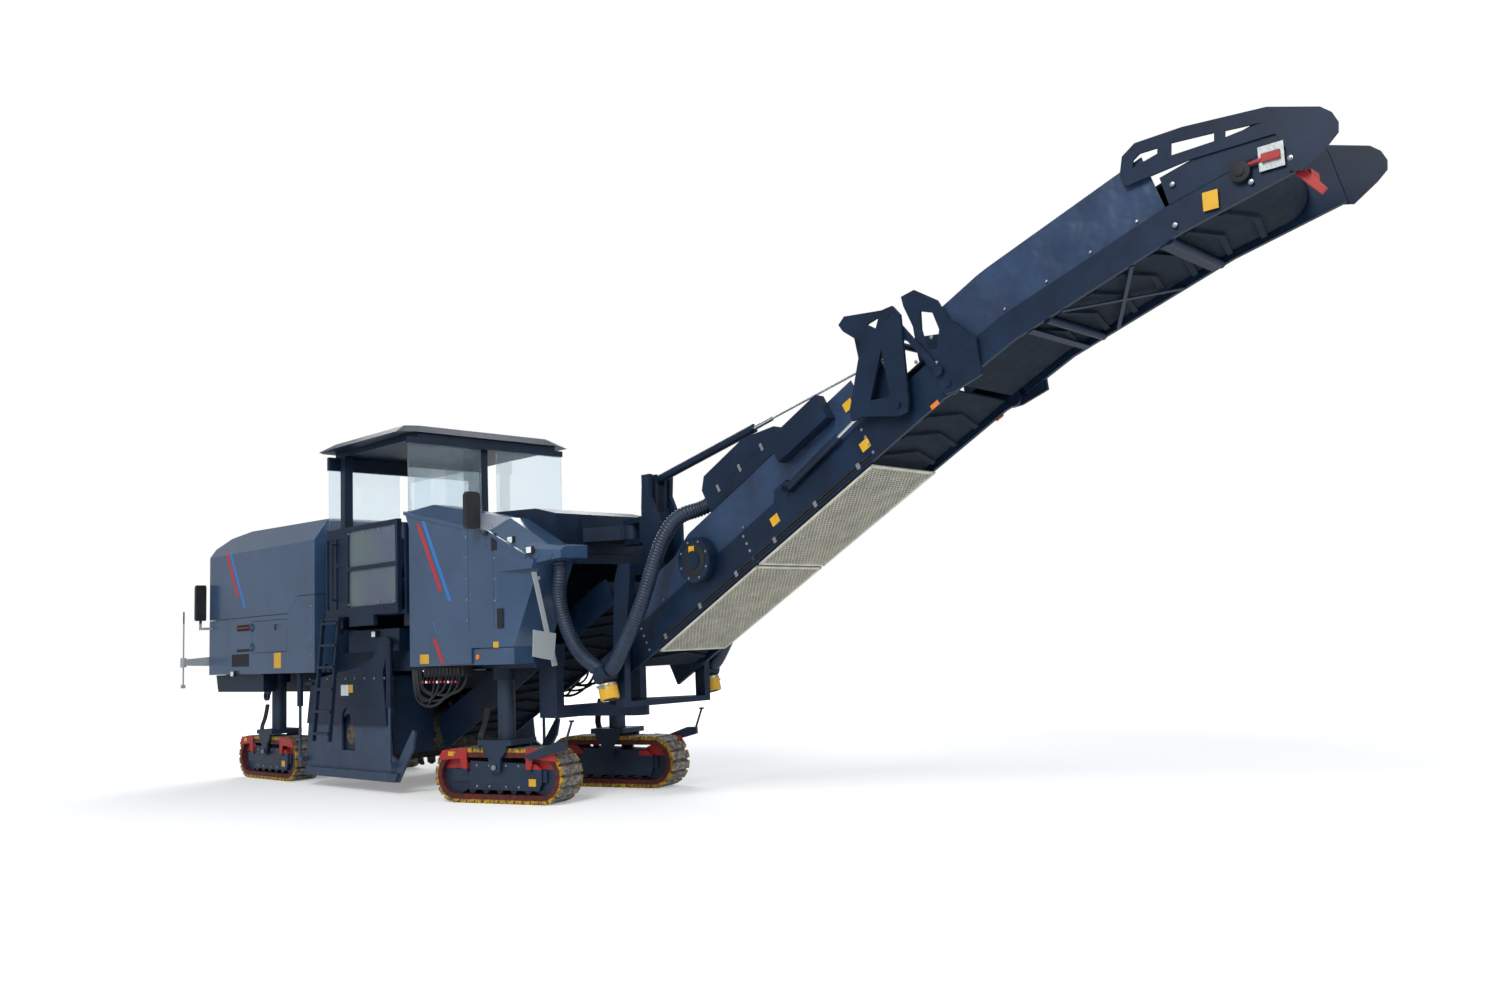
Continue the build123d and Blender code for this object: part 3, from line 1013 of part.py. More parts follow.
def make_mirrors():
    # right-hand pieces, then both sides: mirrors, the bars behind the body and the bar under the pod
    solids = []
    y = body_half
    front = [(y + 40, 3060), (y + 200, 3060), (y + 215, 3090), (y + 215, 3440), (y + 190, 3475), (y + 55, 3475), (y + 30, 3440), (y + 30, 3090)]
    arm = fused(side_plate_yz(front, 170, 235), rod((205, y + 95, 3080), (318, y + 30, 3000), 13), block(290, 350, y + 14 + seat_gap, y + 40, 2980, 3020))
    solids.append(arm)
    rear = [(y + 30, 2330), (y + 170, 2330), (y + 180, 2360), (y + 180, 2840), (y + 165, 2870), (y + 35, 2870), (y + 25, 2840), (y + 25, 2360)]
    solids.append(fused(side_plate_yz(rear, rear_end - 125, rear_end - 60), block(rear_end - 105, rear_end - 75, y + 85, y + 115, 2215, 2340), block(rear_end - 110, rear_end + 60, y + seat_gap, y + 115, 2190, 2225)))
    x = rear_end - 90
    bar = [(1080, 1640), (1562, 1665), (1562, 1760), (1080, 1790)]
    parts = [side_plate_yz(bar, x - 20, x + 10), block(x, rear_end - seat_gap, 1080, 1160, 1660, 1770)]
    parts += [rod((x - 45, 1580, 1640), (x - 45, 1580, 1780), 42), rod((x - 45, 1580, 1340), (x - 45, 1580, 2470), 11), block(x - 70, x - 20, 1555, 1605, 1330, 1380)]
    solids.append(fused(parts[0], *parts[1:]))
    hanger = [(1190, 2520), (1245, 2520), (1000, 1515), (945, 1515)]
    plate = [(1250, 1905), (955, 1860), (990, 1570), (1265, 1625)]
    parts = [side_plate_yz(hanger, 1115, 1131), side_plate_yz(plate, 1130, 1142), side_plate_yz([(1035, 1730), (975, 1730), (925, 1520), (985, 1510)], 1095, 1116)]
    nose_x = [cowl_front - (2640 - z) * 427 / 901 + seat_gap for z in (2440, 2475)]
    parts.append(prism([(nose_x[0], 2440), (1116, 2440), (1116, 2475), (nose_x[1], 2475)], 1130, 1195))
    solids.append(fused(parts[0], *parts[1:]))
    mirrored = []
    for solid in solids:
        mirrored += both(solid)
    return mirrored


nodes = {}


def put(name, *solids):
    flat = []
    for s in solids:
        flat += list(s) if isinstance(s, (list, tuple)) else [s]
    nodes[name] = flat


for name, solids in tracks.items():
    put(name, solids)
put("chassis", make_chassis())
put("water_tank", make_tank())
put("front_cowls", make_cowls())
put("engine_hood", make_engine_hood())
put("rear_body", make_rear_body())
put("service_door_right", make_service_door(-1))
put("service_door_left", make_service_door(1))
put("engine_block", block(engine_rear, engine_rear + 1950, -600, 600, beam_top, 2950))
put("platform", make_platform())
put("railings", make_railings())
put("platform_windows", make_windows())
put("operator_stations", make_stations())
put("canopy_roof", make_canopy())
put("canopy_glass", make_panes())
put("drum_housing", make_housing())
put("scraper_blade", make_scraper())
put("side_plate_right", make_side_plate(-1))
put("side_plate_left", make_side_plate(1))
put("milling_drum", make_drum())
primary_frame, primary_belt = make_primary()
put("primary_frame", primary_frame)
put("primary_belt", primary_belt)
put("mirrors", make_mirrors())
put("slew_tower", make_tower())
put("dust_hoses", make_dust_hoses())
hoist_barrel, hoist_rod = make_hoist()
put("hoist_barrel", hoist_barrel)
put("hoist_rod", hoist_rod)
put("boom_lower_frame", make_lower_frame())
put("boom_lower_covers", make_lower_covers())
put("boom_lower_belt", make_lower_belt())
put("mesh_guard", make_mesh_guard())
put("dust_fan", make_dust_fan())
upper_frame, upper_covers = make_upper()
put("boom_upper_frame", upper_frame)
put("boom_upper_covers", upper_covers)
put("boom_upper_belt", make_upper_belt())
put("fold_levers", make_levers())
put("fold_links", make_links())
fold_barrels, fold_rods = make_fold_cylinders()
put("fold_barrels", fold_barrels)
put("fold_rods", fold_rods)

everything = Compound([s for solids in nodes.values() for s in solids])
bounds = everything.bounding_box()
shift = Vector(-(bounds.min.X + bounds.max.X) / 2, -(bounds.min.Y + bounds.max.Y) / 2, 0)

os.makedirs("parts", exist_ok=True)
for name, solids in nodes.items():
    shape = Compound([s.moved(Location(shift)) for s in solids])
    export_step(shape, f"parts/{name}.step")
print("nodes", len(nodes), "shift", shift, "bounds", bounds)
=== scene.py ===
import math

import bmesh
import bpy
from mathutils import Matrix, Vector, noise


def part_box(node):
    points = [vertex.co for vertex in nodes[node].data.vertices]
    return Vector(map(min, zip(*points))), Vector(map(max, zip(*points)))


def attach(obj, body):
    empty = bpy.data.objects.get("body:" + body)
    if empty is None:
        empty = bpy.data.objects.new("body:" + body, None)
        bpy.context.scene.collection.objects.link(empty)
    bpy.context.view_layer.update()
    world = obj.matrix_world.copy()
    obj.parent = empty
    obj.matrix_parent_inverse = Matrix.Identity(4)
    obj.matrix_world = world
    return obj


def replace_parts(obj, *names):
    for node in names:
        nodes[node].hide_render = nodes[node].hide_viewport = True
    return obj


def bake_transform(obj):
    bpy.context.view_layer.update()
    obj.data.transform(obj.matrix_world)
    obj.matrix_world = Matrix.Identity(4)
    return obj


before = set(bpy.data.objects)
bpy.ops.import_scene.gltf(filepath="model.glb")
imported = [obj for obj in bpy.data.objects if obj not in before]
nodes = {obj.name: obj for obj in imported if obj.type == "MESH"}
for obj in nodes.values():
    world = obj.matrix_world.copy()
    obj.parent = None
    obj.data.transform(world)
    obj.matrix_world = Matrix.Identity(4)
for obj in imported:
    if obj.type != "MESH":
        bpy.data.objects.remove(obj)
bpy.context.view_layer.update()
print("frame loaded:", len(nodes), "nodes")

# lengths are in metres; X = 0 of the drawing is the axis of the front lifting columns
machine = {"wheelbase": 5.664, "trackSide": 0.813, "frontTurn": 15.0}

# distance of the outer faces from the middle plane
faceOf = {
    "body": 1.25, "cowlFoot": 1.19, "drumHousing": 1.12, "rail": 0.5, "railLip": 0.488, "dustUnit": 0.42,
    "head": 0.522, "hook": 0.541, "fan": 0.617, "fanInlet": 0.622, "canvas": 0.478,
}

low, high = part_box("track_rear_right_chain")
shiftX = (low + high).x / 2 + machine["wheelbase"]


def place(x, y, z):
    return Vector((x + shiftX, y, z))


# Camera, matched to the photograph

camera = {
    "at": (11.8782, -9.0959, 1.7061), "yaw": 2.33324, "pitch": 0.112995, "roll": -0.041031,
    "lens": 29.548, "sensor": 36.0, "reach": 200.0,
}


def makeCamera():
    data = bpy.data.cameras.new("photoCamera")
    data.lens, data.sensor_width, data.clip_end = camera["lens"], camera["sensor"], camera["reach"]
    shot = bpy.data.objects.new("photoCamera", data)
    bpy.context.scene.collection.objects.link(shot)
    yaw, pitch, roll = camera["yaw"], camera["pitch"], camera["roll"]
    forward = Vector((math.cos(pitch) * math.cos(yaw), math.cos(pitch) * math.sin(yaw), math.sin(pitch)))
    across = forward.cross(Vector((0, 0, 1))).normalized()
    upright = across.cross(forward)
    right = math.cos(roll) * across + math.sin(roll) * upright
    up = math.cos(roll) * upright - math.sin(roll) * across
    turn = Matrix((right, up, -forward)).transposed().to_4x4()
    shot.matrix_world = Matrix.Translation(place(*camera["at"])) @ turn
    bpy.context.scene.camera = shot


makeCamera()

# Materials


def hexColour(text):
    # sRGB hex to the linear values that the shader works in
    parts = [int(text[i:i + 2], 16) / 255 for i in (1, 3, 5)]
    return tuple(p / 12.92 if p <= 0.04045 else ((p + 0.055) / 1.055) ** 2.4 for p in parts) + (1.0,)


def feed(owner, node, socket, value):
    # value: a number, a hex colour, or a node with the name of its output
    if isinstance(value, tuple):
        owner.node_tree.links.new(value[0].outputs[value[1]], node.inputs[socket])
    else:
        node.inputs[socket].default_value = hexColour(value) if isinstance(value, str) else value


def addNode(owner, kind, inputs=None, **properties):
    node = owner.node_tree.nodes.new(kind)
    for key, value in properties.items():
        setattr(node, key, value)
    for socket, value in (inputs or {}).items():
        feed(owner, node, socket, value)
    return node


def dye(material, socket, value):
    feed(material, material.node_tree.nodes["Principled BSDF"], socket, value)


def newMaterial(name, colour, roughness, metallic=0.0, **extra):
    material = bpy.data.materials.new(name)
    material.use_nodes = True
    dye(material, "Base Color", colour)
    dye(material, "Roughness", roughness)
    dye(material, "Metallic", metallic)
    for socket, value in extra.items():
        dye(material, socket.replace("_", " "), value)
    material.diffuse_color = hexColour(colour)
    return material


def objectSpace(owner):
    return addNode(owner, "ShaderNodeTexCoord"), "Object"


def toneRamp(material, value, low, high, start=0.0, end=1.0):
    ramp = addNode(material, "ShaderNodeValToRGB", {"Fac": value})
    first, last = ramp.color_ramp.elements
    first.position, last.position = start, end
    first.color, last.color = hexColour(low), hexColour(high)
    return ramp, "Color"


def speckle(material, low, high, size, detail=4.0, rough=None, bump=0.0, bumpSize=None, deep=0.002):
    # colour wanders between two hex values over patches of the given size in metres
    coords = objectSpace(material)
    patches = addNode(material, "ShaderNodeTexNoise", {
        "Scale": 1.0 / size, "Detail": detail, "Roughness": 0.6, "Vector": coords,
    })
    tone = toneRamp(material, (patches, "Fac"), low, high, 0.3, 0.72)
    dye(material, "Base Color", tone)
    if rough:
        spread = addNode(material, "ShaderNodeMapRange", {
            "To Min": rough[0], "To Max": rough[1], "Value": (patches, "Fac"),
        })
        dye(material, "Roughness", (spread, "Result"))
    if bump:
        grain = addNode(material, "ShaderNodeTexNoise", {
            "Scale": 1.0 / (bumpSize or size), "Detail": 2.0, "Vector": coords,
        })
        relief = addNode(material, "ShaderNodeBump", {
            "Strength": bump, "Distance": deep, "Height": (grain, "Fac"),
        })
        dye(material, "Normal", (relief, "Normal"))
    return coords, (patches, "Fac"), tone


def calc(owner, operation, first, second=0.0):
    return addNode(owner, "ShaderNodeMath", {0: first, 1: second}, operation=operation), "Value"


def over(material, value, level, blur=0.004):
    # 1 where the value is above the level, 0 below it
    node = addNode(material, "ShaderNodeMapRange", {
        "From Min": level - blur, "From Max": level + blur, "Value": value,
    })
    return node, "Result"


def under(material, value, level, blur=0.004):
    return over(material, value, level, -blur)


def blendColour(material, mask, base, top):
    return addNode(material, "ShaderNodeMix", {0: mask, 6: base, 7: top}, data_type="RGBA"), 2


# baked polyester topcoat on steel sheet: slate blue and satin; a slight orange peel breaks up reflections
slatePaint = newMaterial("slatePolyesterTopcoat", "#34496A", 0.3, Coat_Weight=0.5, Coat_Roughness=0.12)
speckle(slatePaint, "#2C435F", "#375272", 0.9, rough=(0.24, 0.34), bump=0.05, bumpSize=0.006)

# two-pack frame paint: dark navy and duller, its tone wandering in patches
framePaint = newMaterial("navyFramePaint", "#0F2034", 0.42, Specular_IOR_Level=0.3)
speckle(framePaint, "#07182B", "#10263F", 0.35, rough=(0.36, 0.5), bump=0.08, bumpSize=0.01)

# paint on the plates that run beside the drum: rubbed grey by dust and handling
platePaint = newMaterial("rubbedPlatePaint", "#333F57", 0.5)
speckle(platePaint, "#22344C", "#364A64", 0.28, rough=(0.4, 0.65), bump=0.1, bumpSize=0.012)

# hardened drum steel, scoured bright and brown by asphalt
drumSteel = newMaterial("scouredDrumSteel", "#6B6159", 0.5, 0.8)
speckle(drumSteel, "#4B3D33", "#8C857C", 0.06, rough=(0.35, 0.7), bump=0.25, bumpSize=0.01)

# hard chrome on a ground piston rod
chromeRod = newMaterial("hardChromeRod", "#C9CCD0", 0.12, 1.0)
speckle(chromeRod, "#C2C5CA", "#D2D5D8", 0.2, rough=(0.08, 0.16))

# hot-dip galvanised steel: pale grey with a cloudy spangle about 15 mm wide
galvanised = newMaterial("hotDipGalvanised", "#A9AFB0", 0.42, 0.75)
spangle = addNode(galvanised, "ShaderNodeTexVoronoi", {
    "Scale": 1000 / 15.0, "Vector": objectSpace(galvanised),
})
dye(galvanised, "Base Color", toneRamp(galvanised, (spangle, "Color"), "#979E9F", "#BFC4C2"))

# vulcanised belt rubber: matt black with pale dust
beltRubber = newMaterial("vulcanisedBeltRubber", "#141C26", 0.75, Specular_IOR_Level=0.2)
speckle(beltRubber, "#0B141F", "#1B2937", 0.12, rough=(0.65, 0.9), bump=0.2, bumpSize=0.008)

# laminated safety glass with a pale blue tint
tintedGlass = newMaterial("tintedSafetyGlass", "#CFE6F2", 0.03, Transmission_Weight=0.92, IOR=1.5, Alpha=0.55)
speckle(tintedGlass, "#C6E0EE", "#D8ECF6", 0.8, rough=(0.02, 0.05))

# polyurethane coated canvas, drawn over the belt
coatedCanvas = newMaterial("coatedCanvas", "#1C2F4B", 0.42, Sheen_Weight=0.15)
speckle(coatedCanvas, "#0F2642", "#1C395C", 0.5, rough=(0.34, 0.5), bump=0.7, bumpSize=0.22, deep=0.03)

# enamel in signal colours: smooth and bright, for guards, plates, caps and levers
signalRed = newMaterial("signalRedEnamel", "#A32622", 0.4)
speckle(signalRed, "#8E1F1D", "#B02C26", 0.2, rough=(0.35, 0.5))
signalYellow = newMaterial("signalYellowEnamel", "#D9A514", 0.42)
speckle(signalYellow, "#C99610", "#E0B02A", 0.25, rough=(0.36, 0.52))

# cut vinyl laid on the paint: even and slightly glossy
stripeRed = newMaterial("redStripeVinyl", "#B3262B", 0.3)
speckle(stripeRed, "#AD2429", "#B92A2F", 1.2, rough=(0.27, 0.33))
stripeBlue = newMaterial("blueStripeVinyl", "#2E6FB4", 0.3)
speckle(stripeBlue, "#2A69AD", "#3476BB", 1.2, rough=(0.27, 0.33))

# zinc plated bolts: small bright points on the dark paint
zincBolt = newMaterial("zincPlatedBolt", "#9EA4A8", 0.35, 0.85)
speckle(zincBolt, "#8F9599", "#AEB3B6", 0.02, rough=(0.28, 0.45))

# black powder coat on dark parts such as lamp shells and bearings; the same black is painted shade inside
# slots, seams, recesses and openings
blackPartsAndPaintedShade = newMaterial("blackCoatAndPaintedShade", "#0C0F14", 0.7)
speckle(blackPartsAndPaintedShade, "#0A0D11", "#14181F", 0.1, rough=(0.6, 0.8))

# moulded lamp and reflector faces: glassy, so that they catch the light
lampLens = newMaterial("clearLampLens", "#E9EDEE", 0.12, Coat_Weight=0.5)
speckle(lampLens, "#DDE2E4", "#F4F6F6", 0.03, rough=(0.08, 0.18))
amberLens = newMaterial("amberReflector", "#E07A1A", 0.2, Coat_Weight=0.4)
speckle(amberLens, "#D56D12", "#EC8A2A", 0.02, rough=(0.15, 0.25))

# sheet steel slit and drawn into diamonds: galvanised, cream with dust
expandedSteel = newMaterial("expandedSteelMesh", "#C6C4B4", 0.6, 0.1)
speckle(expandedSteel, "#B3B2A4", "#D6D3C2", 0.15, rough=(0.45, 0.65))

# hydraulic hose cover: black synthetic rubber, a little shiny
hoseRubber = newMaterial("hydraulicHoseRubber", "#111316", 0.5)
speckle(hoseRubber, "#0D0F12", "#1B1E22", 0.06, rough=(0.42, 0.6))

# ribbed suction hose: blue-black thermoplastic
ribbedPlastic = newMaterial("ribbedHosePlastic", "#16263A", 0.45)
speckle(ribbedPlastic, "#122033", "#1E3148", 0.15, rough=(0.38, 0.55))

# mirror shells in black plastic on galvanised arms, told apart by where they are
mirrorShell = newMaterial("mirrorShellAndArm", "#14171B", 0.45)
mirrorArm = {"tone": "#9AA1A3", "top": 2.29, "front": 0.91, "blur": 0.01}
shellSpace, _, shellTone = speckle(mirrorShell, "#101317", "#1B1F24", 0.2, rough=(0.35, 0.55))
mirrorAxes = addNode(mirrorShell, "ShaderNodeSeparateXYZ", {0: shellSpace})
lowArm = under(mirrorShell, (mirrorAxes, "Z"), mirrorArm["top"], mirrorArm["blur"])
frontArm = over(mirrorShell, (mirrorAxes, "X"), mirrorArm["front"] + shiftX, mirrorArm["blur"])
anyArm = calc(mirrorShell, "MAXIMUM", lowArm, frontArm)
dye(mirrorShell, "Base Color", blendColour(mirrorShell, anyArm, shellTone, mirrorArm["tone"]))

# scratched polycarbonate in the gate: smoky, with a green and violet cast
gatePane = newMaterial("smokedGatePane", "#74858C", 0.12, Transmission_Weight=0.35, Alpha=0.8)
speckle(gatePane, "#6C7390", "#7F9788", 1.1, detail=1.0, rough=(0.1, 0.2))

# Each track stands at x, y with its own turn in degrees
tracks = {
    "track_front_right": (0.0, -machine["trackSide"], machine["frontTurn"]),
    "track_front_left": (0.0, machine["trackSide"], machine["frontTurn"]),
    "track_rear_right": (-machine["wheelbase"], -machine["trackSide"], 0.0),
    "track_rear_left": (-machine["wheelbase"], machine["trackSide"], 0.0),
}
chainPaint = {"wheelX": 0.615, "wheelZ": 0.305, "linkReach": 0.262, "padSide": 0.163}
guardPaint = {
    "tone": "#A32622", "fromX": 0.424, "toX": 0.89, "foot": 0.384, "side": 0.206, "bar": (0.2005, 0.2015),
    "barBlur": 0.0002,
}


def trackFrame(name):
    x, y, turn = tracks[name]
    return Matrix.Translation(place(x, y, 0)) @ Matrix.Rotation(math.radians(turn), 4, "Z")


def outwardOf(name):
    return -1 if name.endswith("right") else 1


def trackAxes(material, name):
    # the coordinates of a track, from its middle and turn
    inside = trackFrame(name).inverted()
    turned = addNode(material, "ShaderNodeMapping", {"Vector": objectSpace(material)})
    turned.inputs["Location"].default_value = inside.to_translation()
    turned.inputs["Rotation"].default_value = inside.to_euler()
    return addNode(material, "ShaderNodeSeparateXYZ", {0: (turned, "Vector")})


def chainFinish(name):
    # red link steel inside, worn grey pads outside, yellow paint left on the ends of the shoes
    material = newMaterial(name + "Steel", "#5A2A26", 0.6, 0.3)
    _, patches, links = speckle(
        material, "#34191B", "#742B24", 0.05, rough=(0.45, 0.75), bump=0.2, bumpSize=0.015,
    )
    axes = trackAxes(material, name)
    pastWheel = calc(material, "SUBTRACT", calc(material, "ABSOLUTE", (axes, "X")), chainPaint["wheelX"])
    along = calc(material, "MAXIMUM", pastWheel, 0.0)
    height = calc(material, "SUBTRACT", (axes, "Z"), chainPaint["wheelZ"])
    spot = addNode(material, "ShaderNodeCombineXYZ", {0: along, 1: height})
    reach = addNode(material, "ShaderNodeVectorMath", {0: (spot, "Vector")}, operation="LENGTH")
    shoe = over(material, (reach, "Value"), chainPaint["linkReach"])
    tip = over(material, calc(material, "ABSOLUTE", (axes, "Y")), chainPaint["padSide"])
    worn = over(material, patches, 0.52, 0.08)
    pad = blendColour(material, worn, "#5E5A55", "#98938A")
    edge = blendColour(material, worn, "#7A6A35", "#CF9F1C")
    dye(material, "Base Color", blendColour(material, shoe, links, blendColour(material, tip, pad, edge)))
    return material


def guardFinish(name):
    # navy side frame with red guards over both ends of the chain
    material = newMaterial(name + "Paint", "#14243A", 0.5)
    _, _, navy = speckle(material, "#0F2034", "#1B3048", 0.3, rough=(0.42, 0.62), bump=0.08, bumpSize=0.01)
    axes = trackAxes(material, name)
    along, across = calc(material, "ABSOLUTE", (axes, "X")), calc(material, "ABSOLUTE", (axes, "Y"))
    # the arm's bar starts one millimetre under the guard's face and stays navy
    (barStart, barEnd), blur = guardPaint["bar"], guardPaint["barBlur"]
    pastStart, beforeEnd = over(material, across, barStart, blur), under(material, across, barEnd, blur)
    mask = calc(material, "SUBTRACT", 1.0, calc(material, "MULTIPLY", pastStart, beforeEnd))
    for limit in (
        over(material, along, guardPaint["fromX"]), under(material, along, guardPaint["toX"]),
        over(material, (axes, "Z"), guardPaint["foot"]), under(material, across, guardPaint["side"], 0.001),
    ):
        mask = calc(material, "MULTIPLY", mask, limit)
    dye(material, "Base Color", blendColour(material, mask, navy, guardPaint["tone"]))
    return material


# which CAD nodes wear each finish; every track has its own two
finishes = (
    (framePaint, "chassis water_tank engine_block platform railings operator_stations canopy_roof"),
    (framePaint, "drum_housing scraper_blade primary_frame slew_tower hoist_barrel dust_fan"),
    (framePaint, "boom_lower_frame boom_upper_frame fold_levers fold_links fold_barrels"),
    (slatePaint, "front_cowls engine_hood rear_body service_door_right service_door_left"),
    (platePaint, "side_plate_right side_plate_left"),
    (beltRubber, "primary_belt boom_lower_belt boom_upper_belt dust_hoses"),
    (coatedCanvas, "boom_lower_covers boom_upper_covers"),
    (chromeRod, "hoist_rod fold_rods"),
    (drumSteel, "milling_drum"), (galvanised, "mesh_guard"), (mirrorShell, "mirrors"),
    (tintedGlass, "canopy_glass"), (gatePane, "platform_windows"),
)
nodeFinish = {name: finish for finish, names in finishes for name in names.split()}
for name in tracks:
    nodeFinish[name + "_chain"] = chainFinish(name)
    nodeFinish[name + "_frame"] = guardFinish(name)
for name, solid in nodes.items():
    solid.data.materials.clear()
    solid.data.materials.append(nodeFinish[name])
print("finishes on the nodes")

# Modelling helpers; points are in the drawing's frame unless another base is given

ground = Matrix.Translation(place(0, 0, 0))
boom = {"x": 1.770, "z": 1.680, "tilt": math.radians(28.5)}
boomFrame = Matrix.Translation(place(boom["x"], 0, boom["z"])) @ Matrix.Rotation(-boom["tilt"], 4, "Y")


def boomPoint(u, w, y=0.0):
    # the drawing's point that lies u along and w above the lower conveyor's line
    cosine, sine = math.cos(boom["tilt"]), math.sin(boom["tilt"])
    return boom["x"] + u * cosine - w * sine, y, boom["z"] + u * sine + w * cosine


def boomPlace(x, z):
    # how far along and above the lower conveyor's line a point of the drawing is
    cosine, sine = math.cos(boom["tilt"]), math.sin(boom["tilt"])
    dx, dz = x - boom["x"], z - boom["z"]
    return dx * cosine + dz * sine, dz * cosine - dx * sine


def deselectAll():
    bpy.ops.object.select_all(action="DESELECT")


def makeActive(piece):
    deselectAll()
    piece.select_set(True)
    bpy.context.view_layer.objects.active = piece


def settle():
    # location, turn and size go into the mesh
    bpy.ops.object.transform_apply(location=True, rotation=True, scale=True)


def applyModifiers(piece):
    makeActive(piece)
    for modifier in list(piece.modifiers):
        bpy.ops.object.modifier_apply(modifier=modifier.name)


def smooth(piece, degrees=40):
    makeActive(piece)
    bpy.ops.object.shade_smooth_by_angle(angle=math.radians(degrees))


def faceOutward(piece):
    makeActive(piece)
    bpy.ops.object.mode_set(mode="EDIT")
    bpy.ops.mesh.select_all(action="SELECT")
    bpy.ops.mesh.normals_make_consistent(inside=False)
    bpy.ops.object.mode_set(mode="OBJECT")


def roundEdges(piece, width, sharpOnly=False):
    makeActive(piece)
    bpy.ops.object.mode_set(mode="EDIT")
    bpy.ops.mesh.select_mode(type="EDGE")
    bpy.ops.mesh.select_all(action="DESELECT" if sharpOnly else "SELECT")
    if sharpOnly:
        bpy.ops.mesh.edges_select_sharp(sharpness=math.radians(50))
    bpy.ops.mesh.bevel(offset=width, segments=2, affect="EDGES")
    bpy.ops.object.mode_set(mode="OBJECT")


def addBlock(low, high, edge=0.003, base=ground):
    low, high = Vector(low), Vector(high)
    deselectAll()
    bpy.ops.mesh.primitive_cube_add(size=1, location=(low + high) / 2)
    piece = bpy.context.object
    piece.scale = high - low
    settle()
    roundEdges(piece, min(edge, 0.3 * min(high - low)))
    piece.data.transform(base)
    return piece


def addPatch(x0, z0, x1, z1, face, proud=0.002, edge=0.003, base=ground):
    # a flat block that stands proud of the right-hand face at that distance from the middle plane
    return addBlock((x0, -face - proud, z0), (x1, -face, z1), edge, base)


def addProfile(corners, depth, edge=0.0, base=ground):
    # a plate with the given corners, thickened along depth
    deselectAll()
    bpy.ops.mesh.primitive_circle_add(vertices=len(corners), fill_type="NGON")
    piece = bpy.context.object
    bpy.ops.object.mode_set(mode="EDIT")
    shape = bmesh.from_edit_mesh(piece.data)
    for vertex, corner in zip(shape.verts, corners):
        vertex.co = corner
    bmesh.update_edit_mesh(piece.data)
    bpy.ops.mesh.select_all(action="SELECT")
    bpy.ops.mesh.extrude_region_move(TRANSFORM_OT_translate={"value": depth})
    bpy.ops.object.mode_set(mode="OBJECT")
    faceOutward(piece)
    if edge:
        roundEdges(piece, edge)
    piece.data.transform(base)
    return piece


def addRod(start, end, radius, sides=16, edge=0.002, base=ground):
    start, end = Vector(start), Vector(end)
    line = end - start
    deselectAll()
    bpy.ops.mesh.primitive_cylinder_add(
        vertices=sides, radius=radius, depth=line.length,
        location=(start + end) / 2, rotation=line.to_track_quat("Z", "Y").to_euler(),
    )
    piece = bpy.context.object
    settle()
    roundEdges(piece, min(edge, 0.2 * radius), sharpOnly=True)
    smooth(piece)
    piece.data.transform(base)
    return piece


def addPath(points):
    deselectAll()
    bpy.ops.curve.primitive_nurbs_path_add()
    path = bpy.context.object
    path.data.splines.clear()
    run = path.data.splines.new("NURBS")
    run.points.add(len(points) - 1)
    for spot, point in zip(run.points, points):
        spot.co = (*(ground @ Vector(point)), 1.0)
    run.order_u, run.use_endpoint_u, run.resolution_u = 3, True, 10
    return path


def addHose(points, radius):
    path = addPath(points)
    path.data.bevel_depth, path.data.bevel_resolution, path.data.use_fill_caps = radius, 3, True
    makeActive(path)
    bpy.ops.object.convert(target="MESH")
    piece = bpy.context.object
    smooth(piece)
    return piece


def copyTo(piece, matrix):
    twin = piece.copy()
    twin.data = piece.data.copy()
    bpy.context.scene.collection.objects.link(twin)
    twin.data.transform(matrix)
    return twin


def mirrored(parts):
    twins = [copyTo(part, Matrix.Scale(-1, 4, (0, 1, 0))) for part in parts]
    for twin in twins:
        twin.data.flip_normals()
    return twins


def joined(parts):
    makeActive(parts[0])
    if len(parts) > 1:
        for part in parts[1:]:
            part.select_set(True)
        bpy.ops.object.join()
    return parts[0]


def dress(piece, name, material):
    piece.name = piece.data.name = name
    piece.data.materials.clear()
    piece.data.materials.append(material)


def gather(name, parts, material, body):
    # joins the parts into one named piece that rides a body
    piece = joined(parts)
    dress(piece, name, material)
    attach(piece, body)
    return piece


def gatherBoth(name, parts, material, body):
    # the same with a copy of every part on the left
    return gather(name, parts + mirrored(parts), material, body)


# Bolts: one is modelled, the others are copies of it

bolt = {"washer": 0.015, "washerTop": 0.003, "head": 0.0115, "headFoot": 0.002, "height": 0.010}


def makeBolt():
    washer = addRod((0, 0, 0), (0, 0, bolt["washerTop"]), bolt["washer"], 16, 0.0008, Matrix())
    head = addRod((0, 0, bolt["headFoot"]), (0, 0, bolt["height"]), bolt["head"], 6, 0.0012, Matrix())
    return joined([washer, head])


masterBolt = makeBolt()


def boltsAt(points, size=1.0, out=-1, base=ground):
    # out: -1 for heads that face right, 1 for left
    turn = Vector((0, out, 0)).to_track_quat("Z", "Y").to_matrix().to_4x4() @ Matrix.Scale(size, 4)
    return [copyTo(masterBolt, base @ Matrix.Translation(Vector(point)) @ turn) for point in points]


def evenly(start, end, count):
    start, end = Vector(start), Vector(end)
    return [start.lerp(end, i / (count - 1)) for i in range(count)]


# Stripes on the hood and the cowls; the hood leans inwards above the bend

stripes = {"lean": 0.7164, "bend": 3.28, "proud": 0.0012, "hoodWidth": 0.09, "cowlWidth": 0.07}


def addBand(top, bottom, half, out):
    (x0, y0, z0), (x1, y1, z1) = top, bottom
    corners = [(x0 - half, y0, z0), (x0 + half, y0, z0), (x1 + half, y1, z1), (x1 - half, y1, z1)]
    return addProfile(corners, out)


def addStripe(x0, z0, x1, z1, face):
    return addBand((x0, -face, z0), (x1, -face, z1), stripes["cowlWidth"] / 2, (0, -stripes["proud"], 0))


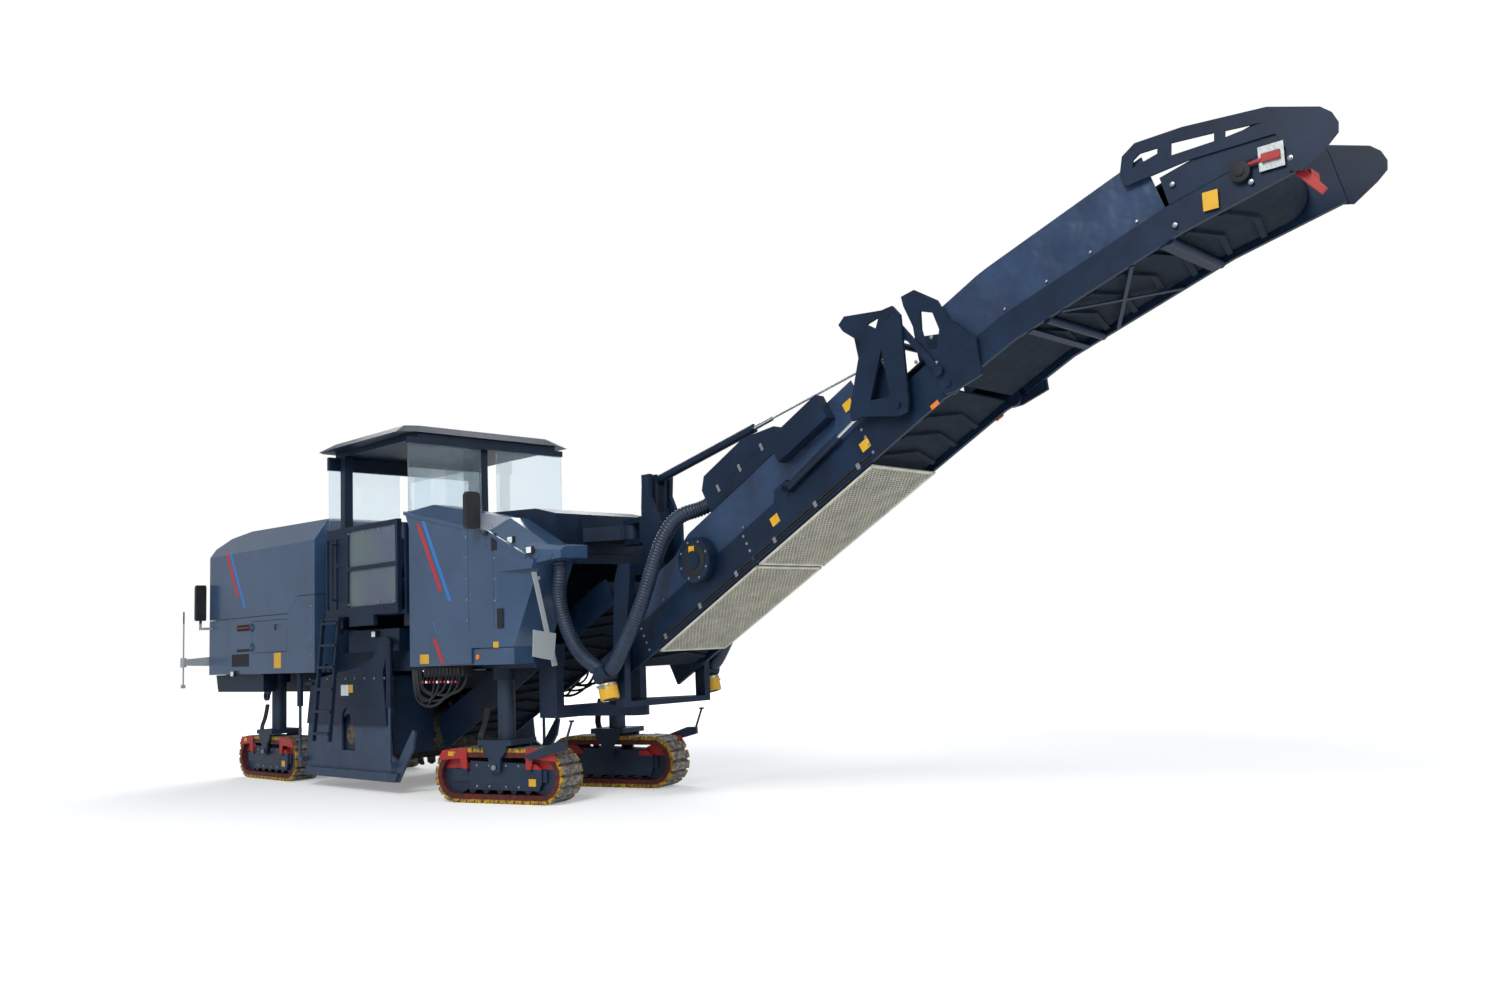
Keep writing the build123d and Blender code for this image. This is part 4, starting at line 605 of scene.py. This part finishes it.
def addHoodStripe(x0, z0, x1, z1, face):
    half, bend = stripes["hoodWidth"] / 2, stripes["bend"]
    xBend = x0 + (z0 - bend) / (z0 - z1) * (x1 - x0)
    back = -face + (z0 - bend) * stripes["lean"]
    out = Vector((0, -1, stripes["lean"])).normalized() * stripes["proud"]
    shoulder = addBand((x0, back, z0), (xBend, -face, bend), half, out)
    return [shoulder, addBand((xBend, -face, bend), (x1, -face, z1), half, (0, -stripes["proud"], 0))]


hoodRed = addHoodStripe(-6.554, 3.456, -6.076, 2.636, faceOf["body"])
hoodBlue = addHoodStripe(-6.432, 3.453, -5.839, 2.464, faceOf["body"])
gatherBoth("hoodStripesRed", hoodRed, stripeRed, "engine_hood")
gatherBoth("hoodStripesBlue", hoodBlue, stripeBlue, "engine_hood")
cowlRed = [(-1.121, 3.244, -0.645, 2.416, faceOf["body"]), (-0.887, 1.868, -0.709, 1.574, faceOf["cowlFoot"])]
cowlBlue = [(-1.009, 3.269, -0.45, 2.29, faceOf["body"]), (-0.882, 2.066, -0.582, 1.572, faceOf["cowlFoot"])]
gatherBoth("cowlStripesRed", [addStripe(*run) for run in cowlRed], stripeRed, "chassis")
gatherBoth("cowlStripesBlue", [addStripe(*run) for run in cowlBlue], stripeBlue, "chassis")
print("stripes")

# Blank plates: x, z of the low corner, x, z of the high corner, and the face they are on
blankPlates = {
    "chassis": [
        (-4.907, 1.584, -4.693, 1.794, "body"), (-3.045, 1.24, -2.945, 1.34, "drumHousing"),
        (0.40, 1.735, 0.50, 1.80, "body"), (-1.206, 1.58, -1.01, 1.69, "cowlFoot"),
    ],
    "boom_upper": [(8.346, 4.65, 8.46, 4.79, "head")],
}
for body, rows in blankPlates.items():
    parts = [addPatch(*row[:4], faceOf[row[4]]) for row in rows]
    gatherBoth("blankPlates." + body, parts, signalYellow, body)

# on the conveyor: the middle of each plate, square to the conveyor's line
boomPlate = {
    "long": 0.11, "high": 0.09,
    "places": [(4.936, 3.785, "railLip"), (3.986, 2.829, "rail"), (5.117, 3.393, "rail")],
}


def addBoomPatch(x, z, long, high, face, proud=0.002):
    u, w = boomPlace(x, z)
    return addPatch(u - long / 2, w - high / 2, u + long / 2, w + high / 2, face, proud, base=boomFrame)


parts = [
    addBoomPatch(x, z, boomPlate["long"], boomPlate["high"], faceOf[face])
    for x, z, face in boomPlate["places"]
]
gatherBoth("blankPlates.boom_lower", parts, signalYellow, "boom_lower")
gatherBoth("palePlate", [addPatch(-3.256, 1.20, -3.06, 1.34, faceOf["drumHousing"])], lampLens, "chassis")
reflector = addBoomPatch(5.894, 3.63, 0.09, 0.04, faceOf["rail"], 0.008)
gatherBoth("railReflectors", [reflector], amberLens, "boom_lower")
marker = addRod((0.077, -1.245, 1.639), (0.077, -1.23, 1.639), 0.03)
gatherBoth("sideMarkers", [marker], amberLens, "chassis")
print("plates and reflectors")

# Work lamps: a dark shell and a pale face; x, distance from the middle plane, z
workLamp = {
    "half": 0.05, "deep": 0.045, "shellHigh": 0.8, "faceWide": 0.85, "faceHigh": 0.65, "faceProud": 0.004,
    "faceSunk": 0.002,
    "places": [
        (-6.16, 1.25, 1.52), (-2.41, 1.08, 1.97), (-3.23, 1.12, 2.03), (0.705, 1.18, 2.898),
        (1.107, 1.223, 2.755),
    ],
}


def addLampPart(spot, wide, high, inner, outer, edge):
    x, y, z = spot
    wide, high = wide * workLamp["half"], high * workLamp["half"]
    return addPatch(x - wide, z - high, x + wide, z + high, y + inner, outer - inner, edge)


shells, lenses = [], []
for spot in workLamp["places"]:
    shells.append(addLampPart(spot, 1, workLamp["shellHigh"], 0, workLamp["deep"], 0.008))
    inner, outer = workLamp["deep"] - workLamp["faceSunk"], workLamp["deep"] + workLamp["faceProud"]
    lenses.append(addLampPart(spot, workLamp["faceWide"], workLamp["faceHigh"], inner, outer, 0.003))
gatherBoth("lampShells", shells, blackPartsAndPaintedShade, "chassis")
gatherBoth("lampFaces", lenses, lampLens, "chassis")

# Painted shade: black patches over the recesses and black lines in the gaps at the edges of panels; x, z of
# the low corner and of the high corner
recess = {
    "panels": [
        (-6.10, 2.13, -5.63, 2.22), (-6.10, 1.83, -5.63, 1.87), (-6.27, 1.62, -5.70, 1.80),
        (0.39, 2.80, 0.50, 2.99), (0.48, 1.94, 0.59, 2.16),
    ],
    "lines": (-0.07, 0.42), "lineHalf": 0.002, "lineFoot": 1.95, "lineTop": 3.1,
}
parts = [addPatch(*corners, faceOf["body"]) for corners in recess["panels"]]
for x in recess["lines"]:
    low, high = (x - recess["lineHalf"], recess["lineFoot"]), (x + recess["lineHalf"], recess["lineTop"])
    parts.append(addPatch(*low, *high, faceOf["body"], 0.0012, 0.0004))
gatherBoth("paintedRecessShade", parts, blackPartsAndPaintedShade, "chassis")

# Levers and handles
parts = []
for x in (-4.68, -4.63, -4.58, -4.53):
    parts.append(addRod((x, -1.21, 1.52), (x, -1.225, 1.60), 0.006))
    parts.append(addRod((x, -1.225, 1.60), (x, -1.229, 1.632), 0.013))
gatherBoth("valveLevers", parts, signalRed, "chassis")
doorHandle = {"ends": (-6.05, -5.67), "z": 2.175, "foot": -1.252, "grip": -1.285, "radius": 0.009}
(x0, x1), foot, grip = doorHandle["ends"], doorHandle["foot"], doorHandle["grip"]
bends = [(x, y, doorHandle["z"]) for x, y in ((x0, foot), (x0, grip), (x1, grip), (x1, foot))]
handle = addHose(bends, doorHandle["radius"])
gatherBoth("doorHandles", [handle], signalRed, "chassis")
print("lamps, handles and levers")

# Bolt rows on the body: x, z of the first and of the last, distance from the middle plane, count
bodyRows = [
    (-2.79, 2.36, -1.68, 2.36, 1.252, 4), (-2.79, 3.27, -1.68, 3.27, 1.252, 4),
    (-4.1, 1.42, -2.15, 1.42, 1.122, 9), (-0.10, 2.05, -0.10, 3.0, 1.251, 5),
    (0.45, 2.25, 0.45, 2.72, 1.251, 3), (-6.95, 1.60, -6.95, 2.20, 1.251, 4),
    (-3.80, 1.75, -3.80, 2.40, 1.251, 4),
]
spots = [spot for x0, z0, x1, z1, y, count in bodyRows for spot in evenly((x0, -y, z0), (x1, -y, z1), count)]
gatherBoth("bodyBolts", boltsAt(spots), zincBolt, "chassis")

# on the conveyor's rails, the head plates and the hook plates beside the fold
spots = [spot for u in (0.30, 2.065, 3.80) for spot in evenly((u, -0.5, -0.20), (u, -0.5, 0.05), 4)]
gatherBoth("boomBolts", boltsAt(spots, base=boomFrame), zincBolt, "boom_lower")
spots = [(x, -faceOf["head"], z) for x, z in ((8.13, 4.92), (8.125, 4.61), (8.70, 4.77), (8.98, 4.86))]
gatherBoth("headBolts", boltsAt(spots, 1.3), zincBolt, "boom_upper")

# Head: bearing, belt adjuster on its plate, and the red scraper arm below the pulley
parts = [
    addRod((8.635, -faceOf["head"], 4.86), (8.635, -0.55, 4.86), 0.075, 28, 0.006),
    addRod((8.635, -0.548, 4.86), (8.635, -0.562, 4.86), 0.035, 20),
]
gatherBoth("headBearings", parts, blackPartsAndPaintedShade, "boom_upper")
plate = addPatch(8.765, 4.82, 8.944, 5.0, faceOf["head"], 0.004)
gatherBoth("adjusterPlates", [plate], galvanised, "boom_upper")
parts = [
    addBlock((8.79, -0.548, 4.88), (8.92, -0.526, 4.94)),
    addRod((8.70, -0.537, 4.895), (8.79, -0.537, 4.905), 0.012),
]
parts += mirrored(parts)
# the photo shows the scraper arm on the near side only
scraperArm = [(8.87, -0.45, 4.89), (8.95, -0.45, 4.90), (9.175, -0.45, 4.61), (9.135, -0.45, 4.575)]
parts.append(addProfile(scraperArm, (0, 0.03, 0), 0.003))
parts.append(addRod((8.91, -0.506, 4.87), (8.91, -0.42, 4.87), 0.02))
parts.append(addBlock((9.04, -0.422, 4.68), (9.08, -0.27, 4.78), 0.004))
gather("beltAdjusters", parts, signalRed, "boom_upper")
hookSpots = ((4.42, 0.30), (4.62, 0.16), (4.78, 0.02), (4.86, 0.24))
spots = [boomPoint(u, w, -faceOf["hook"]) for u, w in hookSpots]
gatherBoth("hookBolts", boltsAt(spots, 1.2), zincBolt, "boom_upper")

# Painted shade in the lid seams as thin black strips, and clamps on the dust unit
dustUnit = {"from": 1.86, "to": 2.78, "seams": (0.60, 0.70), "clamps": (1.95, 2.3, 2.65), "clampProud": 0.012}
parts = [
    addPatch(dustUnit["from"], w, dustUnit["to"], w + 0.003, faceOf["dustUnit"], 0.0015, 0.0005, boomFrame)
    for w in dustUnit["seams"]
]
gatherBoth("dustUnitSeamShade", parts, blackPartsAndPaintedShade, "boom_lower")
parts = [
    addPatch(u, 0.66, u + 0.03, 0.74, faceOf["dustUnit"], dustUnit["clampProud"], base=boomFrame)
    for u in dustUnit["clamps"]
]
gatherBoth("dustUnitClamps", parts, zincBolt, "boom_lower")

# Round fan: rim, a black disc of painted shade inside the inlet, bolts and a blank plate
fan = {"at": (1.45, 0.17), "rim": 0.222, "inlet": 0.162, "boltRing": 0.192, "bolts": 8, "back": 0.61}
fanX, _, fanZ = boomPoint(*fan["at"])


def addDisc(inner, outer, radius):
    return addRod((fanX, -inner, fanZ), (fanX, -outer, fanZ), radius, 40, 0.002)


gather("fanRim", [addDisc(fan["back"], faceOf["fan"], fan["rim"])], framePaint, "boom_lower")
# the inlet is a flat black disc: painted shade where the opening lies
gather("fanInlet", [addDisc(faceOf["fan"], faceOf["fanInlet"], fan["inlet"])], blackPartsAndPaintedShade, "boom_lower")
spots = []
for i in range(fan["bolts"]):
    angle = 2 * math.pi * (i + 0.5) / fan["bolts"]
    dx, dz = fan["boltRing"] * math.cos(angle), fan["boltRing"] * math.sin(angle)
    spots.append((fanX + dx, -faceOf["fan"], fanZ + dz))
gather("fanBolts", boltsAt(spots, 0.8), zincBolt, "boom_lower")
plate = addPatch(fanX - 0.06, fanZ + 0.06, fanX + 0.02, fanZ + 0.14, faceOf["fanInlet"], 0.0015)
gather("fanPlate", [plate], signalYellow, "boom_lower")

# Valve row under the cowl: sections side by side, levers with red and white knobs
valves = {"from": -1.18, "to": -0.35, "first": -1.13, "step": 0.078, "count": 10}
parts = [addBlock((valves["from"], -1.15, 1.425), (valves["to"], -1.02, 1.545), 0.006)]
knobs = {"red": [], "white": []}
for i in range(valves["count"]):
    x = valves["first"] + i * valves["step"]
    parts.append(addBlock((x - 0.027, -1.175, 1.44), (x + 0.027, -1.14, 1.53), 0.005))
    parts.append(addRod((x, -1.172, 1.46), (x, -1.20, 1.375), 0.006))
    knob = addRod((x, -1.199, 1.378), (x, -1.206, 1.352), 0.014, 16, 0.004)
    knobs["white" if i % 3 == 1 else "red"].append(knob)
gatherBoth("valveBody", parts, blackPartsAndPaintedShade, "chassis")
gatherBoth("valveKnobsRed", knobs["red"], signalRed, "chassis")
gatherBoth("valveKnobsWhite", knobs["white"], lampLens, "chassis")

# Hoses that hang between the cowl and the drum housing: x of the front and of the rear end
hangers = [(-1.10, -1.45), (-0.98, -1.52), (-0.84, -1.40), (-0.70, -1.55), (-0.56, -1.48), (-0.42, -1.36)]
parts = []
for i, (x0, x1) in enumerate(hangers):
    drop = 1.05 + 0.07 * (i % 3)
    points = [
        (x0, -1.06, 1.46), (x0, -1.06, 1.30), ((x0 + x1) / 2, -1.04, drop),
        (x1, -1.02, drop + 0.05), (x1 - 0.16, -0.98, 1.34), (x1 - 0.20, -0.96, 1.50),
    ]
    parts.append(addHose(points, 0.014 + 0.003 * (i % 2)))
gatherBoth("sideHoses", parts, hoseRubber, "chassis")

# Steel lines along the conveyor's side, from the tower end to the fold
pipes = {"heights": (-0.225, -0.20), "stops": (0.50, 1.05, 2.4, 3.75), "y": -0.507, "radius": 0.008}
parts = [
    addHose([boomPoint(u, w, pipes["y"]) for u in pipes["stops"]], pipes["radius"]) for w in pipes["heights"]
]
clips = [
    addPatch(u - 0.02, -0.24, u + 0.02, -0.185, faceOf["rail"], 0.017, 0.002, boomFrame)
    for u in (0.6, 1.2, 1.8, 2.4, 3.0, 3.6)
]
gatherBoth("conveyorPipes", parts, hoseRubber, "boom_lower")
gatherBoth("pipeClips", clips, zincBolt, "boom_lower")
print("head, fan, valves and lines")

# Tracks: pivot bolt, pale bolts and two blank plates; sides are distances from the track's middle
trackTrim = {
    "frameSide": 0.172, "guardSide": 0.202, "pivotSide": 0.238, "pivotZ": 0.405,
    "boltX": (-0.30, -0.12, 0.12, 0.30), "boltZ": (0.19, 0.42), "guardBolt": (0.60, 0.565),
}


def addTrackPlate(base, out, x0, z0, x1, z1, face):
    near, far = sorted((out * face, out * (face + 0.002)))
    return addBlock((x0, near, z0), (x1, far, z1), base=base)


for name in tracks:
    base, out = trackFrame(name), outwardOf(name)
    frameSide, guardSide = trackTrim["frameSide"], trackTrim["guardSide"]
    spots = [(x, out * frameSide, z) for x in trackTrim["boltX"] for z in trackTrim["boltZ"]]
    x, z = trackTrim["guardBolt"]
    spots += [(end * x, out * guardSide, z) for end in (-1, 1)]
    parts = boltsAt(spots, 0.9, out, base)
    parts += boltsAt([(0, out * trackTrim["pivotSide"], trackTrim["pivotZ"])], 2.2, out, base)
    gather("trackBolts." + name, parts, zincBolt, name)
    parts = [
        addTrackPlate(base, out, 0.44, 0.20, 0.54, 0.28, frameSide),
        addTrackPlate(base, out, -0.70, 0.525, -0.62, 0.575, guardSide),
    ]
    gather("trackPlates." + name, parts, signalYellow, name)
print("bolts and track details")

# Expanded metal in two panels under the lower conveyor
meshPanel = {
    "panels": [(0.41, 2.05), (2.08, 3.72)], "low": -0.290, "lift": 0.008, "half": 0.48,
    "cell": (0.060, 0.045), "strand": 0.012, "rim": 0.03, "rimHigh": 0.014,
}


def addMeshPanel(u0, u1):
    h, r, low = meshPanel["half"], meshPanel["rim"], meshPanel["low"]
    long, wide = u1 - u0, 2 * h
    deselectAll()
    bpy.ops.mesh.primitive_grid_add(
        x_subdivisions=round(long / meshPanel["cell"][0]), y_subdivisions=round(wide / meshPanel["cell"][1]),
        size=1, location=((u0 + u1) / 2, 0, low + meshPanel["lift"]),
    )
    panel = bpy.context.object
    panel.scale = (long, wide, 1)
    settle()
    # a centre in each cell, then the cell's own edges go: diamonds are left
    before = len(panel.data.vertices)
    bpy.ops.object.mode_set(mode="EDIT")
    bpy.ops.mesh.select_all(action="SELECT")
    bpy.ops.mesh.poke()
    bpy.ops.mesh.select_mode(type="EDGE")
    bpy.ops.mesh.select_all(action="DESELECT")
    shape = bmesh.from_edit_mesh(panel.data)
    for edge in shape.edges:
        edge.select = all(v.index < before for v in edge.verts) and not edge.is_boundary
    bmesh.update_edit_mesh(panel.data)
    bpy.ops.mesh.dissolve_edges(use_verts=False)
    bpy.ops.object.mode_set(mode="OBJECT")
    strands = panel.modifiers.new("strands", "WIREFRAME")
    strands.thickness, strands.use_even_offset = meshPanel["strand"], False
    applyModifiers(panel)
    panel.data.transform(boomFrame)
    top = low + meshPanel["rimHigh"]
    rim = [
        ((u0, -h, low), (u0 + r, h, top)), ((u1 - r, -h, low), (u1, h, top)),
        ((u0, -h, low), (u1, -h + r, top)), ((u0, h - r, low), (u1, h, top)),
    ]
    return [panel] + [addBlock(start, end, base=boomFrame) for start, end in rim]


parts = [part for u0, u1 in meshPanel["panels"] for part in addMeshPanel(u0, u1)]
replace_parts(gather("expandedMesh", parts, expandedSteel, "boom_lower"), "mesh_guard")
print("expanded mesh")

# Ribbed dust hoses with clamps, and the yellow caps below the junctions, with painted shade in their mouths
dustHose = {
    "radius": 0.08, "inner": 0.9, "pitch": 0.032, "junction": (1.705, 0.75, 1.400),
    "seatAt": 0.0953, "seatLine": (0.87, 0.493),
}
# the cap's rounds: start and end along its line, radius and edge
dustCap = {
    "line": Vector((0.25, 0, -0.968)), "sides": 28, "cup": (0.0953, 0.262, 0.102, 0.012),
    "collar": (0.105, 0.13, 0.105, 0.003), "mouth": (0.255, 0.264, 0.075, 0.002), "latchSide": 0.095,
}
# one rib as steps along the hose: share of the pitch, and what the ring grows by
dustHose["rib"] = ((0.25, 1.0), (0.2, 1 / dustHose["inner"]), (0.3, 1.0), (0.25, dustHose["inner"]))


def addRibbedHose(points):
    path = addPath(points)
    deselectAll()
    bpy.ops.mesh.primitive_circle_add(
        vertices=20, radius=dustHose["radius"] * dustHose["inner"], fill_type="NOTHING",
        rotation=(0, math.pi / 2, 0),
    )
    piece = bpy.context.object
    settle()
    bpy.ops.object.mode_set(mode="EDIT")
    bpy.ops.mesh.select_all(action="SELECT")
    at = 0.0
    for share, size in dustHose["rib"]:
        step = share * dustHose["pitch"]
        at += step
        bpy.ops.mesh.extrude_region_move(TRANSFORM_OT_translate={"value": (step, 0, 0)})
        bpy.ops.transform.resize(value=(1, size, size), center_override=(at, 0, 0))
    bpy.ops.object.mode_set(mode="OBJECT")
    ribs = piece.modifiers.new("ribs", "ARRAY")
    ribs.fit_type, ribs.curve = "FIT_CURVE", path
    ribs.use_merge_vertices, ribs.merge_threshold = True, 0.0005
    piece.modifiers.new("bend", "CURVE").object = path
    applyModifiers(piece)
    bpy.ops.object.mode_set(mode="EDIT")
    bpy.ops.mesh.select_all(action="SELECT")
    bpy.ops.mesh.fill_holes(sides=0)
    bpy.ops.object.mode_set(mode="OBJECT")
    faceOutward(piece)
    smooth(piece, 60)
    bpy.data.objects.remove(path)
    return piece


def seat(end, out):
    # where a hose enters the junction: end -1 at the rear, 1 at the front
    x, y, z = dustHose["junction"]
    away = dustHose["seatAt"] + out
    return x + end * dustHose["seatLine"][0] * away, y, z + dustHose["seatLine"][1] * away


def addCapRound(origin, which):
    start, end, radius, edge = dustCap[which]
    line = dustCap["line"]
    return addRod(origin + line * start, origin + line * end, radius, dustCap["sides"], edge)


rearRun = [
    (1.255, 0.970, 2.625), (1.268, 0.970, 2.505), (1.150, 0.925, 2.215), (1.235, 0.860, 1.835),
    (1.375, 0.800, 1.600), seat(-1, 0.06), seat(-1, 0),
]
frontRun = [
    seat(1, 0), seat(1, 0.06), (1.975, 0.75, 1.65), (2.27, 0.74, 2.055), (2.45, 0.72, 2.45),
    (2.575, 0.69, 2.74), (2.74, 0.62, 2.99), boomPoint(1.64, 0.69, 0.33), boomPoint(1.7497, 0.69, 0.33),
]
for side, word in ((-1, "Right"), (1, "Left")):
    for label, run, bodies in (
        ("rear", rearRun, ("chassis", "slew_tower")), ("front", frontRun, ("slew_tower", "boom_lower")),
    ):
        points = [(x, side * y, z) for x, y, z in run]
        hose = addRibbedHose(points)
        dress(hose, label + "DustHose" + word, ribbedPlastic)
        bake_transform(hose)
        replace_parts(hose, "dust_hoses")
    x, y, z = dustHose["junction"]
    origin, latchY = Vector((x, side * y, z)), side * dustCap["latchSide"]
    cap = gather("dustCap" + word, [addCapRound(origin, "cup")], signalYellow, "slew_tower")
    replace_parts(cap, "dust_hoses")
    collar = addCapRound(origin, "collar")
    latchLow, latchHigh = Vector((-0.03, latchY - 0.012, -0.135)), Vector((0.09, latchY + 0.012, -0.11))
    latch = addBlock(origin + latchLow, origin + latchHigh)
    gather("capClamp" + word, [collar, latch], zincBolt, "slew_tower")
    # the mouth is a black disc: painted shade inside the cap's opening
    gather("capMouthShade" + word, [addCapRound(origin, "mouth")], blackPartsAndPaintedShade, "slew_tower")
print("dust hoses")

# Canvas along both sides of the conveyor, drawn tight with shallow wrinkles
canvas = {"along": 96, "up": 10, "wrinkle": 0.009, "thick": 0.0016, "samples": 200, "bolt": 0.489}


def heightAt(edge, u):
    for (u0, w0), (u1, w1) in zip(edge, edge[1:]):
        if u <= u1:
            return w0 + (w1 - w0) * (u - u0) / (u1 - u0)
    return edge[-1][1]


def ripple(u, t):
    # long folds, and finer ones that lean with the height
    folds = noise.noise(Vector((u * 3.1, t * 1.3, faceOf["canvas"])))
    return folds + 0.5 * noise.noise(Vector((u * 9.0 + 4 * t, t * 2.5, 7.0)))


def addCanvas(bottom, top, toPoint):
    # bottom and top: the edges as distance along and height; toPoint sets them in the drawing's frame
    deselectAll()
    bpy.ops.mesh.primitive_grid_add(x_subdivisions=canvas["along"], y_subdivisions=canvas["up"], size=1)
    sheet = bpy.context.object
    bpy.ops.object.mode_set(mode="EDIT")
    shape = bmesh.from_edit_mesh(sheet.data)
    u0, u1 = bottom[0][0], bottom[-1][0]
    for vertex in shape.verts:
        u, t = u0 + (vertex.co.x + 0.5) * (u1 - u0), vertex.co.y + 0.5
        low, high = heightAt(bottom, u), heightAt(top, u)
        sway = canvas["wrinkle"] * math.sin(math.pi * t) * ripple(u, t)
        vertex.co = ground @ Vector(toPoint(u, low + t * (high - low), -faceOf["canvas"] + sway))
    bmesh.update_edit_mesh(sheet.data)
    bpy.ops.object.mode_set(mode="OBJECT")
    faceOutward(sheet)
    sheet.modifiers.new("cloth", "SOLIDIFY").thickness = canvas["thick"]
    applyModifiers(sheet)
    smooth(sheet, 50)
    return sheet


upperLine = [Vector((6.209, 3.794)), Vector((6.692, 4.036)), Vector((8.146, 4.548))]


def upperPoint(along, height, y):
    for start, end in zip(upperLine, upperLine[1:]):
        length = (end - start).length
        if along <= length or end is upperLine[-1]:
            line = (end - start) / length
            spot = start + line * along + Vector((-line.y, line.x)) * height
            return spot.x, y, spot.y
        along -= length


upperLong = sum((end - start).length for start, end in zip(upperLine, upperLine[1:]))
canvasEdges = {
    "boom_lower": (
        [(0.07, 0.104), (2.55, 0.104), (2.63, 0.206), (2.81, 0.206), (2.89, 0.104), (3.93, 0.104)],
        [(0.07, 0.11), (0.33, 0.43), (1.10, 0.43), (1.40, 0.52), (3.93, 0.52)],
    ),
    "boom_upper": (
        [(0.02, 0.244), (upperLong - 0.02, 0.244)],
        [(0.02, 0.69), (upperLong - 0.02, 0.715)],
    ),
}
for body, toPoint in (("boom_lower", boomPoint), ("boom_upper", upperPoint)):
    bottom, top = canvasEdges[body]
    start, long = bottom[0][0], bottom[-1][0] - bottom[0][0]
    stops = [start + long * (i + 0.5) / canvas["samples"] for i in range(canvas["samples"])]
    right = addCanvas(bottom, top, toPoint)
    for word, piece in (("Left", mirrored([right])[0]), ("Right", right)):
        piece = gather("canvas" + word + "." + body, [piece], coatedCanvas, body)
        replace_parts(piece, body + "_covers")
stops = [0.3 + 0.45 * i for i in range(9)]
spots = [boomPoint(u, 0.135, -canvas["bolt"]) for u in stops if not 2.5 < u < 2.95]
gatherBoth("canvasBolts.boom_lower", boltsAt(spots, 0.8), zincBolt, "boom_lower")
spots = [upperPoint(0.15 + 0.42 * i, 0.28, -canvas["bolt"]) for i in range(5)]
gatherBoth("canvasBolts.boom_upper", boltsAt(spots, 0.8), zincBolt, "boom_upper")
print("canvas")

# Hydraulic hoses from the frame down to each track, three side by side
drive = {"radius": 0.014, "count": 3, "step": 0.035, "lift": 1.02}


def addDriveHose(name, off):
    x, y, _ = tracks[name]
    out, lift = outwardOf(name), drive["lift"]
    foot = trackFrame(name) @ Vector((-0.20 - off, out * 0.10, 0.47))
    foot.x -= shiftX
    points = [
        (x - 0.30 - off, y + out * 0.02, lift + 0.03), (x - 0.36 - off, y + out * 0.02, lift - 0.16),
        (x - 0.42 - off, y + out * 0.06, 0.72), (foot.x - 0.06, foot.y, 0.56), tuple(foot),
    ]
    return addHose(points, drive["radius"])


for name in tracks:
    x, y, _ = tracks[name]
    bundle = joined([addDriveHose(name, drive["step"] * i) for i in range(drive["count"])])
    dress(bundle, "driveHoses." + name, hoseRubber)
    start, end = tuple(place(x - 0.32, y, drive["lift"])), tuple(place(x - 0.30, y, 0.52))
    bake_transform(bundle)
bpy.data.objects.remove(masterBolt)
print("hydraulic hoses")

# Floor, world and lamps

studio = {
    "floorSize": 70, "floorColour": "#F2F2F2", "glow": 0.26, "glowFar": 1.0, "glowFrom": 9.0, "glowTo": 24.0,
    "worldColour": "#E6ECF4", "worldLevel": 0.5,
}
# each lamp: power in watts, size, where it stands and what it aims at
lamps = {
    "keyLamp": (3000, 9, (9.0, -16.0, 15.0), (-1.0, 0.0, 1.5)),
    "fillLamp": (900, 10, (18.0, 2.0, 9.0), (2.0, 0.0, 2.0)),
    "rimLamp": (1300, 9, (-14.0, 8.0, 12.0), (-2.0, 0.0, 2.0)),
}


def seenDirectly(owner):
    path = addNode(owner, "ShaderNodeLightPath")
    return calc(owner, "MAXIMUM", (path, "Is Camera Ray"), (path, "Is Transmission Ray"))


def makeFloor():
    deselectAll()
    bpy.ops.mesh.primitive_circle_add(vertices=96, radius=studio["floorSize"], fill_type="NGON")
    floor = bpy.context.object
    floor.name = "floor"
    # matt white; seen directly it has a glow that grows outwards, so that it runs into the white behind it
    plain = newMaterial("mattWhiteFloor", studio["floorColour"], 0.9, Specular_IOR_Level=0.0)
    away = addNode(plain, "ShaderNodeVectorMath", {0: objectSpace(plain)}, operation="LENGTH")
    glow = addNode(plain, "ShaderNodeMapRange", {
        "From Min": studio["glowFrom"], "From Max": studio["glowTo"],
        "To Min": studio["glow"], "To Max": studio["glowFar"], "Value": (away, "Value"),
    })
    strength = calc(plain, "MULTIPLY", (glow, "Result"), seenDirectly(plain))
    shine = addNode(plain, "ShaderNodeEmission", {"Color": "#FFFFFF", "Strength": strength})
    matt = plain.node_tree.nodes["Principled BSDF"]
    both = addNode(plain, "ShaderNodeAddShader", {0: (matt, "BSDF"), 1: (shine, "Emission")})
    feed(plain, plain.node_tree.nodes["Material Output"], "Surface", (both, 0))
    floor.data.materials.append(plain)


def makeWorld():
    world = bpy.data.worlds.new("studioWorld")
    bpy.context.scene.world = world
    world.use_nodes = True
    back = world.node_tree.nodes["Background"]
    feed(world, back, "Color", studio["worldColour"])
    feed(world, back, "Strength", studio["worldLevel"])
    # plain white where the camera sees it
    white = addNode(world, "ShaderNodeBackground", {"Color": "#FFFFFF"})
    mix = addNode(world, "ShaderNodeMixShader", {
        0: seenDirectly(world), 1: (back, "Background"), 2: (white, "Background"),
    })
    feed(world, world.node_tree.nodes["World Output"], "Surface", (mix, "Shader"))


def makeLamps():
    for name, (power, size, at, aim) in lamps.items():
        lamp = bpy.data.lights.new(name, "AREA")
        lamp.energy, lamp.size, lamp.shape = power, size, "SQUARE"
        holder = bpy.data.objects.new(name, lamp)
        bpy.context.scene.collection.objects.link(holder)
        holder.location = place(*at)
        holder.rotation_mode = "QUATERNION"
        holder.rotation_quaternion = (place(*aim) - place(*at)).to_track_quat("-Z", "Y")


makeFloor()
makeWorld()
makeLamps()
bpy.context.scene.view_settings.view_transform = "Standard"
print("floor, world and lamps")
